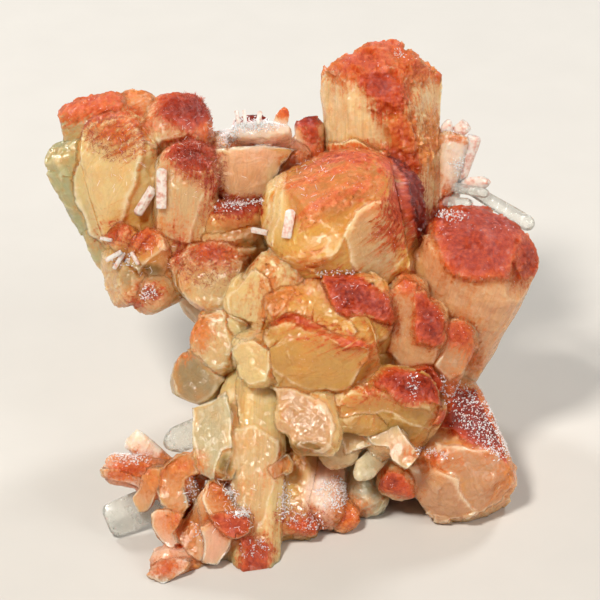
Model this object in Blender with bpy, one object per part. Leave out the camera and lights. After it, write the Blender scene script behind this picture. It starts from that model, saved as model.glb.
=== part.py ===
"""A stilbite cluster: sheaf crystals that grew together from one root, cut off flat below.

All sizes here are in millimetres. Each crystal is placed as somebody sees it who looks down on
the cluster at VIEW_ELEVATION: so far right, so far up and so far toward them, counted from the
middle of the cluster. The finished solid stands on z = 0, with the middle of its box over the
origin."""

import math
import random
from typing import NamedTuple

import bmesh
import bpy
from mathutils import Vector

METRES_PER_MM = 0.001
VIEW_ELEVATION = math.radians(30)
STAND_HEIGHT = 44.0  # from the flat cut up to the middle of the cluster
CUT_BOX_SIZE = 400.0  # well over the cluster's own size
SLIVER = 0.002  # corners nearer to each other than this are one
FLAT_ANGLE = math.radians(0.5)  # neighbours that differ by less are one flat face
LONGEST_CROWN = 0.8  # a crystal's rounded end is never more than this share of its length
BELLY = 0.03  # how much wider a bellied crystal is at half its body than a straight taper gives
BELLIED_FORMS = ("dome", "block")
SIDEWAYS_STRAY = 0.6  # a corner strays sideways by this share of what it strays along the crystal

# Each crystal's end, from its shoulder to its tip: how far down from the tip, as a share of the
# crown's height, then the width and the thickness there as shares of the crystal's own.
CROWNS = {
    "dome": ((1.0, 1.0, 1.0), (0.48, 0.85, 0.86), (0.15, 0.58, 0.58), (0.0, 0.3, 0.28)),
    "block": ((1.0, 1.0, 1.0), (0.25, 0.94, 0.92), (0.0, 0.66, 0.62)),
    "chisel": ((1.0, 1.0, 1.0), (0.4, 0.66, 0.94), (0.0, 0.24, 0.7)),
    "lump": ((1.0, 1.0, 1.0), (0.42, 0.8, 0.8), (0.0, 0.34, 0.34)),
    "point": ((1.0, 1.0, 1.0), (0.0, 0.3, 0.3)),
}

# Corners of a cross-section, as shares of half the width and half the thickness: four flat sides
# with bevelled edges for a sheaf, and six sides for a small prism.
SHEAF_SECTION = (
    (1.0, 0.5), (0.66, 1.0), (-0.66, 1.0), (-1.0, 0.5),
    (-1.0, -0.5), (-0.66, -1.0), (0.66, -1.0), (1.0, -0.5),
)
PRISM_SECTION = ((1.0, 0.0), (0.5, 0.9), (-0.5, 0.9), (-1.0, 0.0), (-0.5, -0.9), (0.5, -0.9))


class Crystal(NamedTuple):
    name: str
    root: tuple
    tip: tuple
    width: float
    thickness: float
    form: str = "dome"
    taper: float = 0.75  # width at the root as a share of the width at the shoulder
    crown: float = 0.32  # height of the rounded end as a share of the width
    facing: tuple = (0, 0, 1)  # which way the broad face looks
    rough: float = 0.05  # how far corners stray, as a share of half the width


TALL_AND_CENTRE = (
    Crystal("tall column", (21, -5, -28), (19.2, 63.4, -3), 29.5, 24, crown=0.32, rough=0.02),
    Crystal("central dome", (17, -12, -18), (6.4, 31.5, 19), 37, 34, crown=0.26),
    Crystal("dark red neighbour", (20, -6, -24), (17, 32, 10), 25, 24, crown=0.3),
    Crystal("right capped sheaf", (30, -24, -20), (45.6, 20.4, 8), 30, 26, crown=0.27, taper=0.6, rough=0.04),
    Crystal("right sheaf foot", (24, -28, -24), (38.5, -7, -7), 17, 18, crown=0.3),
)

RIGHT_EDGE_BLADES = (
    Crystal("clear rod", (36, 29, -16), (56.4, 19.4, -6), 4.6, 4.4, "block", 0.95, 0.4),
    Crystal("white blade high", (33, 27, -14), (40, 44, -9), 6.5, 3, "chisel", 0.7, 0.6),
    Crystal("clear plate", (34, 27, -14), (45.6, 28.4, -7), 3.4, 2.2, "chisel", 0.9, 0.6),
    Crystal("pink blade", (33, 22, -12), (42, 32, -8), 5, 3, "chisel", 0.8, 0.5),
)

LEFT_LOBE = (
    Crystal("green slab top", (-38, 6, -18), (-51, 50.5, -6), 17, 14, "block", crown=0.4),
    Crystal("green slab side", (-38, 3, -16), (-56, 40, -4), 16, 14, "block", crown=0.4),
    Crystal("cream front sheaf", (-37, 6, -10), (-45.2, 46, 5), 20, 16, crown=0.4, rough=0.08),
    Crystal("peach back dome", (-36, 14, -20), (-40, 52.5, -9), 12.5, 12),
    Crystal("red lobe", (-30, 10, -18), (-29.6, 51.2, -3), 17.5, 16, crown=0.4, rough=0.08),
    Crystal("needle dome", (-29, 4, -4), (-26, 39, 9), 16, 14, crown=0.5, rough=0.07),
    Crystal("pink back sheaf", (-16, 4, -16), (-13, 37, 0), 17, 12),
    Crystal("pink side sheaf", (-5, 5, -18), (-2.5, 40, -6), 11, 10),
    Crystal("ledge under plate", (-16, 10, -22), (-18, 42, -9), 14, 10, "block"),
    Crystal("red lens", (-12, 6, -10), (-16, 25, 10), 16, 9, "lump", 0.9, 0.3),
    Crystal("beige lens body", (-12, 4, -12), (-17, 20, 8), 15, 10, "block", 0.9, 0.3),
    Crystal("sugared plate", (-9, 37, -20), (-10, 42.4, 4), 15.5, 4.2, "block", 0.9, 0.15, (0, 1, -0.2)),
    Crystal("plate blade", (-8, 36, -8), (-3.2, 48.2, -2), 3.6, 1.6, "chisel", 0.9, 0.8),
    Crystal("dark back dome", (-13, 18, -20), (-11.5, 47, -9), 9.5, 9),
    Crystal("brown back dome", (2, 12, -18), (2.5, 46.4, -8), 8, 8),
    Crystal("small red dome", (-36, 8, -4), (-43.8, 18.4, 8), 7.5, 7),
    Crystal("orange ridge", (-31, 6, -4), (-37.5, 17, 10), 9, 7, "lump"),
    Crystal("lower left block", (-22, 13, -12), (-45.4, 6.6, 1), 15, 13, "block", 0.9, 0.3),
    Crystal("lower left knob", (-26, 8, -8), (-38.5, 1.2, 4), 9, 10, "lump", 0.9),
    Crystal("fuzzy red dome", (-14, 2, -16), (-23, 9, 11), 17.5, 17, crown=0.4, rough=0.07),
)

FRONT = (
    Crystal("pale knob high", (2, 0, -8), (-8, 8.5, 20), 16, 14, "dome", 0.9, 0.4, rough=0.09),
    Crystal("pale knob left", (0, -2, -8), (-14, 2.5, 18), 12, 13, "dome", 0.9, 0.4, rough=0.09),
    Crystal("pale knob middle", (4, -4, -4), (-4.5, -0.5, 23), 13, 13, "dome", 0.9, 0.4, rough=0.09),
    Crystal("orange left tip", (-4, -6, -8), (-24.3, -8.4, 12), 16, 14, crown=0.4),
    Crystal("grey block", (-6, -22, -6), (-29.2, -16, 7), 12, 11, "block", 0.95, 0.4),
    Crystal("pale knob low", (-2, -8, 0), (-14, -10, 20), 9, 10, "lump", 0.9, 0.5),
    Crystal("pale knob lowest", (-2, -12, 0), (-12, -16, 21), 9, 9, "lump", 0.9, 0.5),
    Crystal("front slab", (9, -31, 2), (4, -5, 22), 26, 11, "block", 0.8, 0.16),
    Crystal("terraced tip", (3, -12, 6), (3.5, -33.5, 21), 12, 10, "block", 0.9, 0.5),
    Crystal("terraced tip left", (2, -12, 6), (-3, -29, 20), 9, 9, "lump", 0.9, 0.5),
    Crystal("red wavy sheaf", (15, -20, 0), (12.3, 7.8, 20), 18, 11, crown=0.35, rough=0.1),
    Crystal("peach wavy sheaf", (8, -12, 2), (4, 6.6, 20), 9, 9, crown=0.4, rough=0.08),
    Crystal("striped sheaf", (20, -26, -6), (26, 7, 13), 11, 12, crown=0.35),
    Crystal("brown capped sheaf", (24, -24, -4), (31, 1, 14), 10.5, 12, crown=0.4, rough=0.08),
    Crystal("orange brown dome", (28, -30, -8), (38.5, -3.4, 8), 11.5, 12, crown=0.4),
    Crystal("red topped sheaf", (21, -35, 0), (24.8, -16, 19), 18.5, 13, crown=0.28, rough=0.08),
    Crystal("red thorn", (27, -34, 2), (33.6, -22.6, 14), 5, 5, "chisel", 0.9, 0.6),
    Crystal("ochre flank", (30, -28, 4), (8.5, -23, 18), 11, 10, "block", 0.9, 0.4),
)

LOWER_RIGHT = (
    Crystal("druse block", (28.5, -14, -16), (41.8, -50, 3), 26.5, 25, crown=0.25, taper=0.85),
    Crystal("stained corner", (27, -28, -6), (22.5, -44, 8), 9.5, 9, "block", 0.9, 0.3),
    Crystal("leaf crystal", (21.5, -32, 6), (13.2, -40.5, 16), 5.6, 3, "chisel", 0.8, 0.8),
    Crystal("pale lump left", (8, -24, 2), (9, -37, 14), 10, 9, "lump", 0.9),
    Crystal("pale lump right", (16, -24, 0), (22, -33, 15), 10, 9, "lump", 0.9),
)

FOOT = (
    Crystal("cream column", (-9, -16, 8), (-11, -64, 12.5), 12.5, 13, "block", 0.9, 0.3),
    Crystal("cream column left", (-12, -16, 4), (-21.5, -40, 15), 11, 11, "block", 0.85, 0.3),
    Crystal("sparkly face", (0, -28, 0), (-1.5, -55, 9), 11, 12, "block", 0.85, 0.3),
    Crystal("grey lump", (6, -28, -4), (5.5, -52, 9), 10, 12, "lump", 0.9),
    Crystal("grey white lump", (14, -28, -10), (16, -50, 2), 11, 12, "lump", 0.9),
    Crystal("orange red tip", (4, -42, -2), (12.2, -52.4, 7), 8, 7, "lump", 0.9),
    Crystal("red druse lump", (-4, -46, 4), (2.4, -53.2, 11), 9, 8, "lump", 0.9),
    Crystal("white blade left", (-20, -29, 2), (-32, -31.6, 9), 5.5, 3, "chisel", 0.9, 0.6),
    Crystal("clear pink knob", (-28, -42, 4), (-41, -29.6, 9), 8, 7, "lump", 0.8),
    Crystal("sugared red sheaf", (-22, -42, 2), (-46.2, -38, 11), 8, 8, "dome", 0.9),
    Crystal("clear grey blade", (-24, -42, 0), (-45.6, -51.6, 8), 8.4, 4, "block", 0.9, 0.4),
    Crystal("orange plate edge", (-28, -50, 8), (-36.4, -38, 15), 6.5, 5, "chisel", 0.8, 0.5),
    Crystal("orange plate high", (-22, -54, 6), (-31, -35.4, 18), 10, 5, "chisel", 0.8, 0.6),
    Crystal("orange plate low", (-24, -58, 10), (-35.5, -49, 20), 9, 6, "chisel", 0.9, 0.6),
    Crystal("broad flat plate", (-18, -66, 9), (-21.5, -41, 22), 13.5, 7, "chisel", 0.9, 0.6),
    Crystal("red lens low", (-12, -56, 10), (-17.5, -48.2, 23), 9, 5, "lump", 0.9),
    Crystal("pink toe", (-20, -62, 11), (-34.6, -59.3, 20), 8.5, 8, "lump", 0.9),
)

BACK_SIDE = (
    Crystal("back column", (18, -6, -30), (19, 42, -34), 22, 18),
    Crystal("back left dome", (-8, 2, -18), (-20, 28, -32), 20, 18),
    Crystal("back left low dome", (-8, -8, -18), (-26, 8, -34), 19, 17),
    Crystal("back middle dome", (6, -10, -22), (2, 14, -48), 22, 20),
    Crystal("back right dome", (24, -10, -22), (40, 6, -38), 21, 20),
    Crystal("back right low dome", (24, -22, -22), (42, -22, -36), 20, 18),
    Crystal("back low dome", (6, -20, -20), (8, -14, -52), 22, 18),
    Crystal("lobe back dome", (-28, 16, -14), (-40, 32, -26), 16, 14),
    Crystal("lobe back low dome", (-26, 12, -14), (-36, 14, -28), 14, 13),
)

# Rounded masses where the crystals meet. They fill what lies between the roots.
ROOT_MASS = (
    Crystal("core", (8, -34, -16), (8, 16, -6), 44, 34, taper=0.9),
    Crystal("left neck", (0, 8, -14), (-38, 24, -12), 26, 20, taper=0.95),
    Crystal("front root", (6, -34, -8), (6, 2, 0), 30, 22, taper=0.95),
    Crystal("left foot root", (-2, -22, -8), (-15, -64, 1), 24, 19, "block", 0.9),
    Crystal("middle foot root", (6, -16, -22), (8, -54, -19), 40, 24, "block", 0.9),
    Crystal("back foot root", (6, -10, -28), (10, -44, -38), 46, 30, "block", 0.9),
)

SMALL_PRISMS = (
    Crystal("upright prism", (-33, 21, 9), (-32.2, 33.6, 14), 2.9, 2.8, "point", 1.0, 0.3, rough=0.0),
    Crystal("leaning prism", (-39.5, 21, 8), (-34.6, 29.2, 13), 2.8, 2.7, "point", 1.0, 0.3, rough=0.0),
    Crystal("centre prism", (-4, 14, 14), (-2, 22.4, 22), 2.7, 2.6, "point", 1.0, 0.3, rough=0.0),
    Crystal("small centre prism", (-6, 16, 14), (-11, 18, 20), 1.6, 1.6, "point", 1.0, 0.3, rough=0.0),
)

ALL_CRYSTALS = (
    *ROOT_MASS, *TALL_AND_CENTRE, *RIGHT_EDGE_BLADES, *LEFT_LOBE, *FRONT,
    *LOWER_RIGHT, *FOOT, *BACK_SIDE, *SMALL_PRISMS,
)


def in_metres(right, up, toward):
    """The place of a point that is given as the viewer sees it."""
    back = up * math.sin(VIEW_ELEVATION) - toward * math.cos(VIEW_ELEVATION)
    height = up * math.cos(VIEW_ELEVATION) + toward * math.sin(VIEW_ELEVATION) + STAND_HEIGHT
    return Vector((right, back, height)) * METRES_PER_MM


def crystal_axes(crystal):
    """The crystal's own directions: across its width, through its thickness and along it."""
    along = (Vector(crystal.tip) - Vector(crystal.root)).normalized()
    through = Vector(crystal.facing)
    through = (through - along * through.dot(along)).normalized()
    return through.cross(along) * -1, through, along


def crystal_rings(crystal):
    """From root to tip: how far along, half the width there and half the thickness there."""
    length = (Vector(crystal.tip) - Vector(crystal.root)).length
    crown = min(crystal.crown * crystal.width, LONGEST_CROWN * length)
    half_width, half_thickness = crystal.width / 2, crystal.thickness / 2
    rings = [(0.0, half_width * crystal.taper, half_thickness * crystal.taper)]
    if crystal.form in BELLIED_FORMS:
        share = (1 + crystal.taper) / 2 + BELLY
        rings.append(((length - crown) / 2, half_width * share, half_thickness * share))
    for down, width_share, thickness_share in CROWNS[crystal.form]:
        rings.append((length - crown * down, half_width * width_share, half_thickness * thickness_share))
    return rings


def add_crystal(mesh, crystal):
    """One crystal, as a closed skin over its rings. Its corners stray a little, as grown ones do."""
    across, through, along = crystal_axes(crystal)
    section = PRISM_SECTION if crystal.form == "point" else SHEAF_SECTION
    stray = random.Random(crystal.name)
    reach = crystal.rough * crystal.width / 2
    aside = reach * SIDEWAYS_STRAY
    loops = []
    for distance, half_width, half_thickness in crystal_rings(crystal):
        loop = []
        for share_across, share_through in section:
            place = Vector(crystal.root) + along * (distance + stray.uniform(-reach, reach))
            place += across * (half_width * share_across + stray.uniform(-aside, aside))
            place += through * (half_thickness * share_through + stray.uniform(-aside, aside))
            loop.append(mesh.verts.new(in_metres(*place)))
        loops.append(loop)
    count = len(section)
    for lower, upper in zip(loops, loops[1:]):
        for corner in range(count):
            following = (corner + 1) % count
            mesh.faces.new((lower[corner], lower[following], upper[following], upper[corner]))
    mesh.faces.new(tuple(reversed(loops[0])))
    mesh.faces.new(tuple(loops[-1]))


def crystal_object(crystal, collection):
    mesh = bmesh.new()
    add_crystal(mesh, crystal)
    bmesh.ops.triangulate(mesh, faces=mesh.faces)
    bmesh.ops.recalc_face_normals(mesh, faces=mesh.faces)
    data = bpy.data.meshes.new(crystal.name)
    mesh.to_mesh(data)
    mesh.free()
    crystal_made = bpy.data.objects.new(crystal.name, data)
    collection.objects.link(crystal_made)
    return crystal_made


def stilbite_material():
    material = bpy.data.materials.new("stained stilbite")
    material.use_nodes = True
    surface = material.node_tree.nodes["Principled BSDF"]
    surface.inputs["Base Color"].default_value = (0.72, 0.4, 0.2, 1.0)
    surface.inputs["Roughness"].default_value = 0.45
    surface.inputs["Metallic"].default_value = 0.0
    return material


def cut_box():
    """A box under the flat cut, to take away all that lies below z = 0."""
    size = CUT_BOX_SIZE * METRES_PER_MM
    bpy.ops.mesh.primitive_cube_add(size=size, location=(0, 0, -size / 2))
    box = bpy.context.active_object
    box.name = "cut_box"
    box.hide_render = True
    box.display_type = "WIRE"
    return box


def joined_solid(first, others, box):
    """The first crystal with the others of its collection grown on, cut off flat at the box."""
    join = first.modifiers.new("grown together", "BOOLEAN")
    join.operation = "UNION"
    join.operand_type = "COLLECTION"
    join.collection = others
    join.solver = "EXACT"
    cut = first.modifiers.new("flat cut", "BOOLEAN")
    cut.operation = "DIFFERENCE"
    cut.object = box
    cut.solver = "EXACT"
    graph = bpy.context.evaluated_depsgraph_get()
    return bpy.data.meshes.new_from_object(first.evaluated_get(graph))


def keep_outer_skin(data):
    """Drops the skins of pockets sealed in between the crystals, so that the cluster is solid there."""
    mesh = bmesh.new()
    mesh.from_mesh(data)
    bmesh.ops.triangulate(mesh, faces=mesh.faces)
    unseen = set(mesh.faces)
    skins = []
    while unseen:
        skin = {unseen.pop()}
        edge_of_search = list(skin)
        while edge_of_search:
            face = edge_of_search.pop()
            for edge in face.edges:
                for neighbour in edge.link_faces:
                    if neighbour in unseen:
                        unseen.remove(neighbour)
                        skin.add(neighbour)
                        edge_of_search.append(neighbour)
        skins.append(skin)
    outer = max(skins, key=len)
    inner = [face for face in mesh.faces if face not in outer]
    bmesh.ops.delete(mesh, geom=inner, context="FACES")
    mesh.to_mesh(data)
    mesh.free()


def merge_slivers(data):
    """Joins corners that lie within SLIVER of each other, and flat neighbours into one face."""
    mesh = bmesh.new()
    mesh.from_mesh(data)
    bmesh.ops.remove_doubles(mesh, verts=mesh.verts, dist=SLIVER * METRES_PER_MM)
    bmesh.ops.dissolve_degenerate(mesh, edges=mesh.edges, dist=SLIVER * METRES_PER_MM)
    bmesh.ops.dissolve_limit(mesh, angle_limit=FLAT_ANGLE, verts=mesh.verts, edges=mesh.edges)
    bmesh.ops.triangulate(mesh, faces=mesh.faces)
    mesh.to_mesh(data)
    mesh.free()


def centre_on_origin(data):
    """Moves the mesh sideways until the middle of its box is over the origin."""
    for axis in (0, 1):
        places = [vertex.co[axis] for vertex in data.vertices]
        middle = (min(places) + max(places)) / 2
        for vertex in data.vertices:
            vertex.co[axis] -= middle


def main():
    for leftover in list(bpy.data.objects):
        bpy.data.objects.remove(leftover)
    scene_collection = bpy.context.scene.collection
    others = bpy.data.collections.new("grown on")
    scene_collection.children.link(others)
    first = crystal_object(ALL_CRYSTALS[0], scene_collection)
    for crystal in ALL_CRYSTALS[1:]:
        crystal_object(crystal, others)
    box = cut_box()
    data = joined_solid(first, others, box)
    for used in [first, box, *others.objects]:
        bpy.data.objects.remove(used)
    keep_outer_skin(data)
    merge_slivers(data)
    centre_on_origin(data)
    data.name = "stilbite_cluster"
    data.materials.clear()
    data.materials.append(stilbite_material())
    cluster = bpy.data.objects.new("stilbite_cluster", data)
    scene_collection.objects.link(cluster)


if __name__ == "__main__":
    main()
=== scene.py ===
"""Looks of a stilbite cluster: translucent sheaf crystals, stained brick red at their ends, with white
prisms, clear blades, sugary druse and fine red needles.

Crystals are placed in millimetres as somebody sees them who looks down on the cluster at
VIEW_ELEVATION: so far right, so far up and so far toward them. A crystal is shaped in millimetres,
standing on its root, and is then set in its place in metres."""

import math
import random
from typing import NamedTuple

import bmesh
import bpy
import numpy as np
from mathutils import Matrix, Vector


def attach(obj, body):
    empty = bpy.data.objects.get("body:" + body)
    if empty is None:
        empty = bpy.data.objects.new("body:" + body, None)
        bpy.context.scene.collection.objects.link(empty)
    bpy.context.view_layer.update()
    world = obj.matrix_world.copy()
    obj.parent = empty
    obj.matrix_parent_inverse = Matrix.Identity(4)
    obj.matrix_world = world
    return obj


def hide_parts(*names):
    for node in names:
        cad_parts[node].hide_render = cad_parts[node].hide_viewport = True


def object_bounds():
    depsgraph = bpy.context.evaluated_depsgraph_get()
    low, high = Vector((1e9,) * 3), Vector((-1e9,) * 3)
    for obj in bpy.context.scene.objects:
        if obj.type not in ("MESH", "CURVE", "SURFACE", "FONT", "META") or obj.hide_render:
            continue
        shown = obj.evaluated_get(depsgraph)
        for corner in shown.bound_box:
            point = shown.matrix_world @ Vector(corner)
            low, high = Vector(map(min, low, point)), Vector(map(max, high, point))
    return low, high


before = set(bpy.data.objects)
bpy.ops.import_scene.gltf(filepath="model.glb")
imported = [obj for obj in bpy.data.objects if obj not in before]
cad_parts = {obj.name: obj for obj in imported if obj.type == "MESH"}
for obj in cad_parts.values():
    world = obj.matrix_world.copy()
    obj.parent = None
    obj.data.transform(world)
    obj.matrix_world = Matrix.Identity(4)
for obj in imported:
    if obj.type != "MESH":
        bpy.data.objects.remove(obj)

bl_info = {
    "name": "Stilbite Cluster",
    "version": (1, 0, 0),
    "blender": (4, 5, 0),
    "location": "View3D > Sidebar > Stilbite",
    "description": "Grows a stilbite cluster with its prisms, blades, druse and needles",
    "category": "Object",
}

MM = 0.001
NODE = "stilbite_cluster"
VIEW_ELEVATION = math.radians(30)
STAND_HEIGHT = 44.0  # mm from the flat cut up to the middle of the cluster
BOX_MIDDLE = (-2.145, 2.429)  # mm, where the middle of the cluster's box lies, across and back
CAD_BOX = [list(corner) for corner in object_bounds()]

BELLY = 0.03  # how much wider a crystal is at half its body than a straight taper gives
LONGEST_CROWN = 0.8  # a crystal's rounded end is never more than this share of its length
ROUNDNESS = 4.0  # the power of the rounded rectangle that a crystal's cross-section is near to

# Ends of the sheaf forms: height over the shoulder as a share of the crown's, then the width and the
# thickness there as shares of the crystal's own.
CROWNS = {
    "dome": ((0.52, 0.87, 0.88), (0.85, 0.6, 0.6), (1.0, 0.32, 0.3)),
    "block": ((0.75, 0.95, 0.93), (1.0, 0.68, 0.64)),
    "chisel": ((0.6, 0.68, 0.94), (1.0, 0.26, 0.7)),
    "lump": ((0.58, 0.82, 0.82), (1.0, 0.38, 0.38)),
}

# Flat facets that are seen on single crystals: which way each faces, right, up and toward the viewer,
# and how many mm it takes off the crystal there
FACETS = {
    "tall column": ((0.8, 0, 0.6, 3.0), (-0.55, 0.83, 0.1, 2.0), (0.62, 0.78, 0.1, 2.0),
        (0.1, 0.5, 0.85, 2.0)),
    "central dome": ((-0.8, 0.05, 0.6, 3.2), (0.5, -0.62, 0.6, 4.0), (0.85, 0.2, 0.45, 2.5),
        (0.1, 0.3, 0.95, 1.5)),
    "right capped sheaf": ((-0.2, 0.6, 0.78, 2.2), (0.75, -0.1, 0.65, 2.5), (0.1, -0.3, 0.95, 1.5)),
    "pink back sheaf": ((0.1, 0.3, 0.95, 2.0), (-0.5, 0.4, 0.77, 1.5)),
    "grey block": ((-0.5, 0.4, 0.77, 1.5), (-0.2, -0.6, 0.77, 1.5), (0, 0, 1, 1.0)),
    "cream front sheaf": ((-0.6, 0.1, 0.79, 1.6), (0.3, 0.1, 0.95, 1.2)),
    "broad flat plate": ((-0.3, 0, 0.95, 1.0), (0.6, 0.1, 0.79, 1.2)),
    "front slab": ((0, 0.2, 0.98, 1.0),),
}


class Sheaf(NamedTuple):
    name: str
    root: tuple
    tip: tuple
    width: float
    thickness: float
    tint: str
    stain: float = 0.0  # mm from the tip down to where the iron stain ends, or 0 for none
    deep: float = 0.4  # 0 for an orange stain, 1 for a dark red one
    form: str = "dome"
    taper: float = 0.75
    crown: float = 0.32
    facing: tuple = (0, 0, 1)
    lumpy: float = 0.3  # how lumpy its end is, and how many sprouts it has
    ribbed: float = 0.5  # how plain its ribs are, from 0 to 1


TALL_AND_CENTRE = (
    Sheaf("tall column", (21, -5, -28), (19.2, 63.4, -3), 29.5, 24, "straw", 3, 0.5, crown=0.32, lumpy=0.8,
          ribbed=1),
    Sheaf("central dome", (17, -12, -18), (6.4, 31.5, 19), 37, 34, "honey", 0, 0.4, crown=0.26, lumpy=0.15,
          ribbed=0.15),
    Sheaf("dark red neighbour", (20, -6, -24), (17, 32, 10), 25, 24, "ochre", 24, 0.9, crown=0.3, lumpy=0.5),
    Sheaf("right capped sheaf", (30, -24, -20), (45.6, 20.4, 8), 30, 26, "peach", 4, 0.6, "dome", 0.6, 0.27,
          lumpy=0.45, ribbed=0.8),
    Sheaf("right sheaf foot", (24, -28, -24), (38.5, -7, -7), 17, 18, "peach", 0, 0.3),
    Sheaf("pale sheaf behind", (32, 22, -16), (38.2, 42.6, -10), 7.6, 3.6, "blush", 0, 0.3, "block", 0.9, 0.3,
          ribbed=0.3),
)

LEFT_LOBE = (
    Sheaf("green slab top", (-38, 6, -18), (-51, 50.5, -6), 17, 14, "greenish", 4, 0.4, "block", crown=0.4,
          ribbed=0.2),
    Sheaf("green slab side", (-38, 3, -16), (-56, 40, -4), 16, 14, "greenish", 0, 0.3, "block", crown=0.4,
          ribbed=0.2),
    Sheaf("cream front sheaf", (-37, 6, -10), (-45.2, 46, 5), 20, 16, "cream", 1, 0.4, crown=0.4,
          ribbed=0.15),
    Sheaf("peach back dome", (-36, 14, -20), (-40, 52.5, -9), 12.5, 12, "peach", 2, 0.2, ribbed=0.2),
    Sheaf("red lobe", (-30, 10, -18), (-29.6, 51.2, -3), 17.5, 16, "beige", 3, 0.55, crown=0.4, lumpy=0.5),
    Sheaf("needle dome", (-29, 4, -4), (-26, 39, 9), 16, 14, "beige", 3, 0.7, crown=0.5, lumpy=0.5,
          ribbed=0.8),
    Sheaf("pink back sheaf", (-16, 4, -16), (-13, 37, 0), 17, 12, "pink", 0, 0.3),
    Sheaf("pink side sheaf", (-5, 5, -18), (-2.5, 40, -6), 11, 10, "pink", 0, 0.3),
    Sheaf("ledge under plate", (-16, 10, -22), (-18, 42, -9), 14, 10, "pink", 0, 0.2, "block"),
    Sheaf("red lens", (-12, 6, -10), (-16, 25, 10), 16, 9, "ochre", 0, 0.95, "lump", 0.9, 0.3),
    Sheaf("beige lens body", (-12, 4, -12), (-17, 20, 8), 15, 10, "beige", 0, 0.4, "block", 0.9, 0.3),
    Sheaf("sugared plate", (-9, 37, -20), (-10, 42.4, 4), 15.5, 4.2, "pink", 0, 0.1, "block", 0.9, 0.15,
          (0, 1, -0.2), 0.1),
    Sheaf("plate blade", (-8, 36, -8), (-3.2, 48.2, -2), 3.6, 1.6, "pink", 4, 0.5, "chisel", 0.9, 0.8),
    Sheaf("dark back dome", (-13, 18, -20), (-11.5, 47, -9), 9.5, 9, "beige", 9, 0.85),
    Sheaf("brown back dome", (2, 12, -18), (2.5, 46.4, -8), 8, 8, "beige", 5, 0.8),
    Sheaf("small red dome", (-36, 8, -4), (-43.8, 18.4, 8), 7.5, 7, "peach", 2, 0.6),
    Sheaf("orange ridge", (-31, 6, -4), (-37.5, 17, 10), 9, 7, "peach", 2, 0.45, "lump"),
    Sheaf("lower left block", (-22, 13, -12), (-45.4, 6.6, 1), 15, 13, "beige", 0, 0.2, "block", 0.9, 0.3),
    Sheaf("lower left knob", (-26, 8, -8), (-38.5, 1.2, 4), 9, 10, "beige", 0, 0.9, "lump", 0.9),
    Sheaf("fuzzy red dome", (-14, 2, -16), (-23, 9, 11), 17.5, 17, "cream", 0, 0.7, crown=0.4, lumpy=0.4),
)

FRONT = (
    Sheaf("pale knob high", (2, 0, -8), (-8, 8.5, 20), 16, 14, "cream", 0, 0.2, "dome", 0.9, 0.4, ribbed=0.2),
    Sheaf("pale knob left", (0, -2, -8), (-14, 2.5, 18), 12, 13, "cream", 0, 0.2, "dome", 0.9, 0.4,
          ribbed=0.2),
    Sheaf("pale knob middle", (4, -4, -4), (-4.5, -0.5, 23), 13, 13, "honey", 0, 0.2, "dome", 0.9, 0.4,
          ribbed=0.2),
    Sheaf("orange left tip", (-4, -6, -8), (-24.3, -8.4, 12), 16, 14, "cream", 0, 0.1, crown=0.4, ribbed=0.2),
    Sheaf("grey block", (-6, -22, -6), (-29.2, -16, 7), 12, 11, "grey", 0, 0.1, "block", 0.95, 0.4,
          lumpy=0.1, ribbed=0.2),
    Sheaf("pale knob low", (-2, -8, 0), (-14, -10, 20), 9, 10, "cream", 0, 0.2, "lump", 0.9, 0.5),
    Sheaf("pale knob lowest", (-2, -12, 0), (-12, -16, 21), 9, 9, "cream", 0, 0.2, "lump", 0.9, 0.5),
    Sheaf("front slab", (9, -31, 2), (4, -5, 22), 26, 11, "ochre", 0, 0.6, "block", 0.8, 0.16, lumpy=0.15,
          ribbed=0.15),
    Sheaf("terraced tip", (3, -12, 6), (3.5, -33.5, 21), 12, 10, "cream", 0, 0.1, "block", 0.9, 0.5),
    Sheaf("terraced tip left", (2, -12, 6), (-3, -29, 20), 9, 9, "cream", 0, 0.1, "lump", 0.9, 0.5),
    Sheaf("red wavy sheaf", (15, -20, 0), (12.3, 7.8, 20), 18, 11, "ochre", 0, 0.75, crown=0.35, lumpy=0.3,
          ribbed=0.3),
    Sheaf("peach wavy sheaf", (8, -12, 2), (4, 6.6, 20), 9, 9, "peach", 0, 0.3, crown=0.4),
    Sheaf("striped sheaf", (20, -26, -6), (26, 7, 13), 11, 12, "beige", 0, 0.4, crown=0.35, ribbed=0.7),
    Sheaf("brown capped sheaf", (24, -24, -4), (31, 1, 14), 10.5, 12, "beige", 0, 0.8, crown=0.4, lumpy=0.4),
    Sheaf("orange brown dome", (28, -30, -8), (38.5, -3.4, 8), 11.5, 12, "beige", 0, 0.6, crown=0.4),
    Sheaf("red topped sheaf", (21, -35, 0), (24.8, -16, 19), 18.5, 13, "ochre", 0, 0.75, crown=0.28,
          lumpy=0.3),
    Sheaf("red thorn", (27, -34, 2), (33.6, -22.6, 14), 5, 5, "beige", 3, 0.6, "chisel", 0.9, 0.6),
    Sheaf("ochre flank", (30, -28, 4), (8.5, -23, 18), 11, 10, "ochre", 0, 0.6, "block", 0.9, 0.4,
          ribbed=0.1),
)

LOWER_RIGHT = (
    Sheaf("druse block", (28.5, -14, -16), (41.8, -50, 3), 26.5, 25, "peach", 0, 0.3, crown=0.25,
          taper=0.85, ribbed=0.3),
    Sheaf("stained corner", (27, -28, -6), (22.5, -44, 8), 9.5, 9, "beige", 0, 0.7, "block", 0.9, 0.3),
    Sheaf("leaf crystal", (21.5, -32, 6), (13.2, -40.5, 16), 5.6, 3, "grey", 0, 0.3, "chisel", 0.8, 0.8,
          ribbed=0.3),
    Sheaf("pale lump left", (8, -24, 2), (9, -37, 14), 10, 9, "beige", 0, 0.3, "lump", 0.9),
    Sheaf("pale lump right", (16, -24, 0), (22, -33, 15), 10, 9, "beige", 0, 0.3, "lump", 0.9),
)

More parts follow.
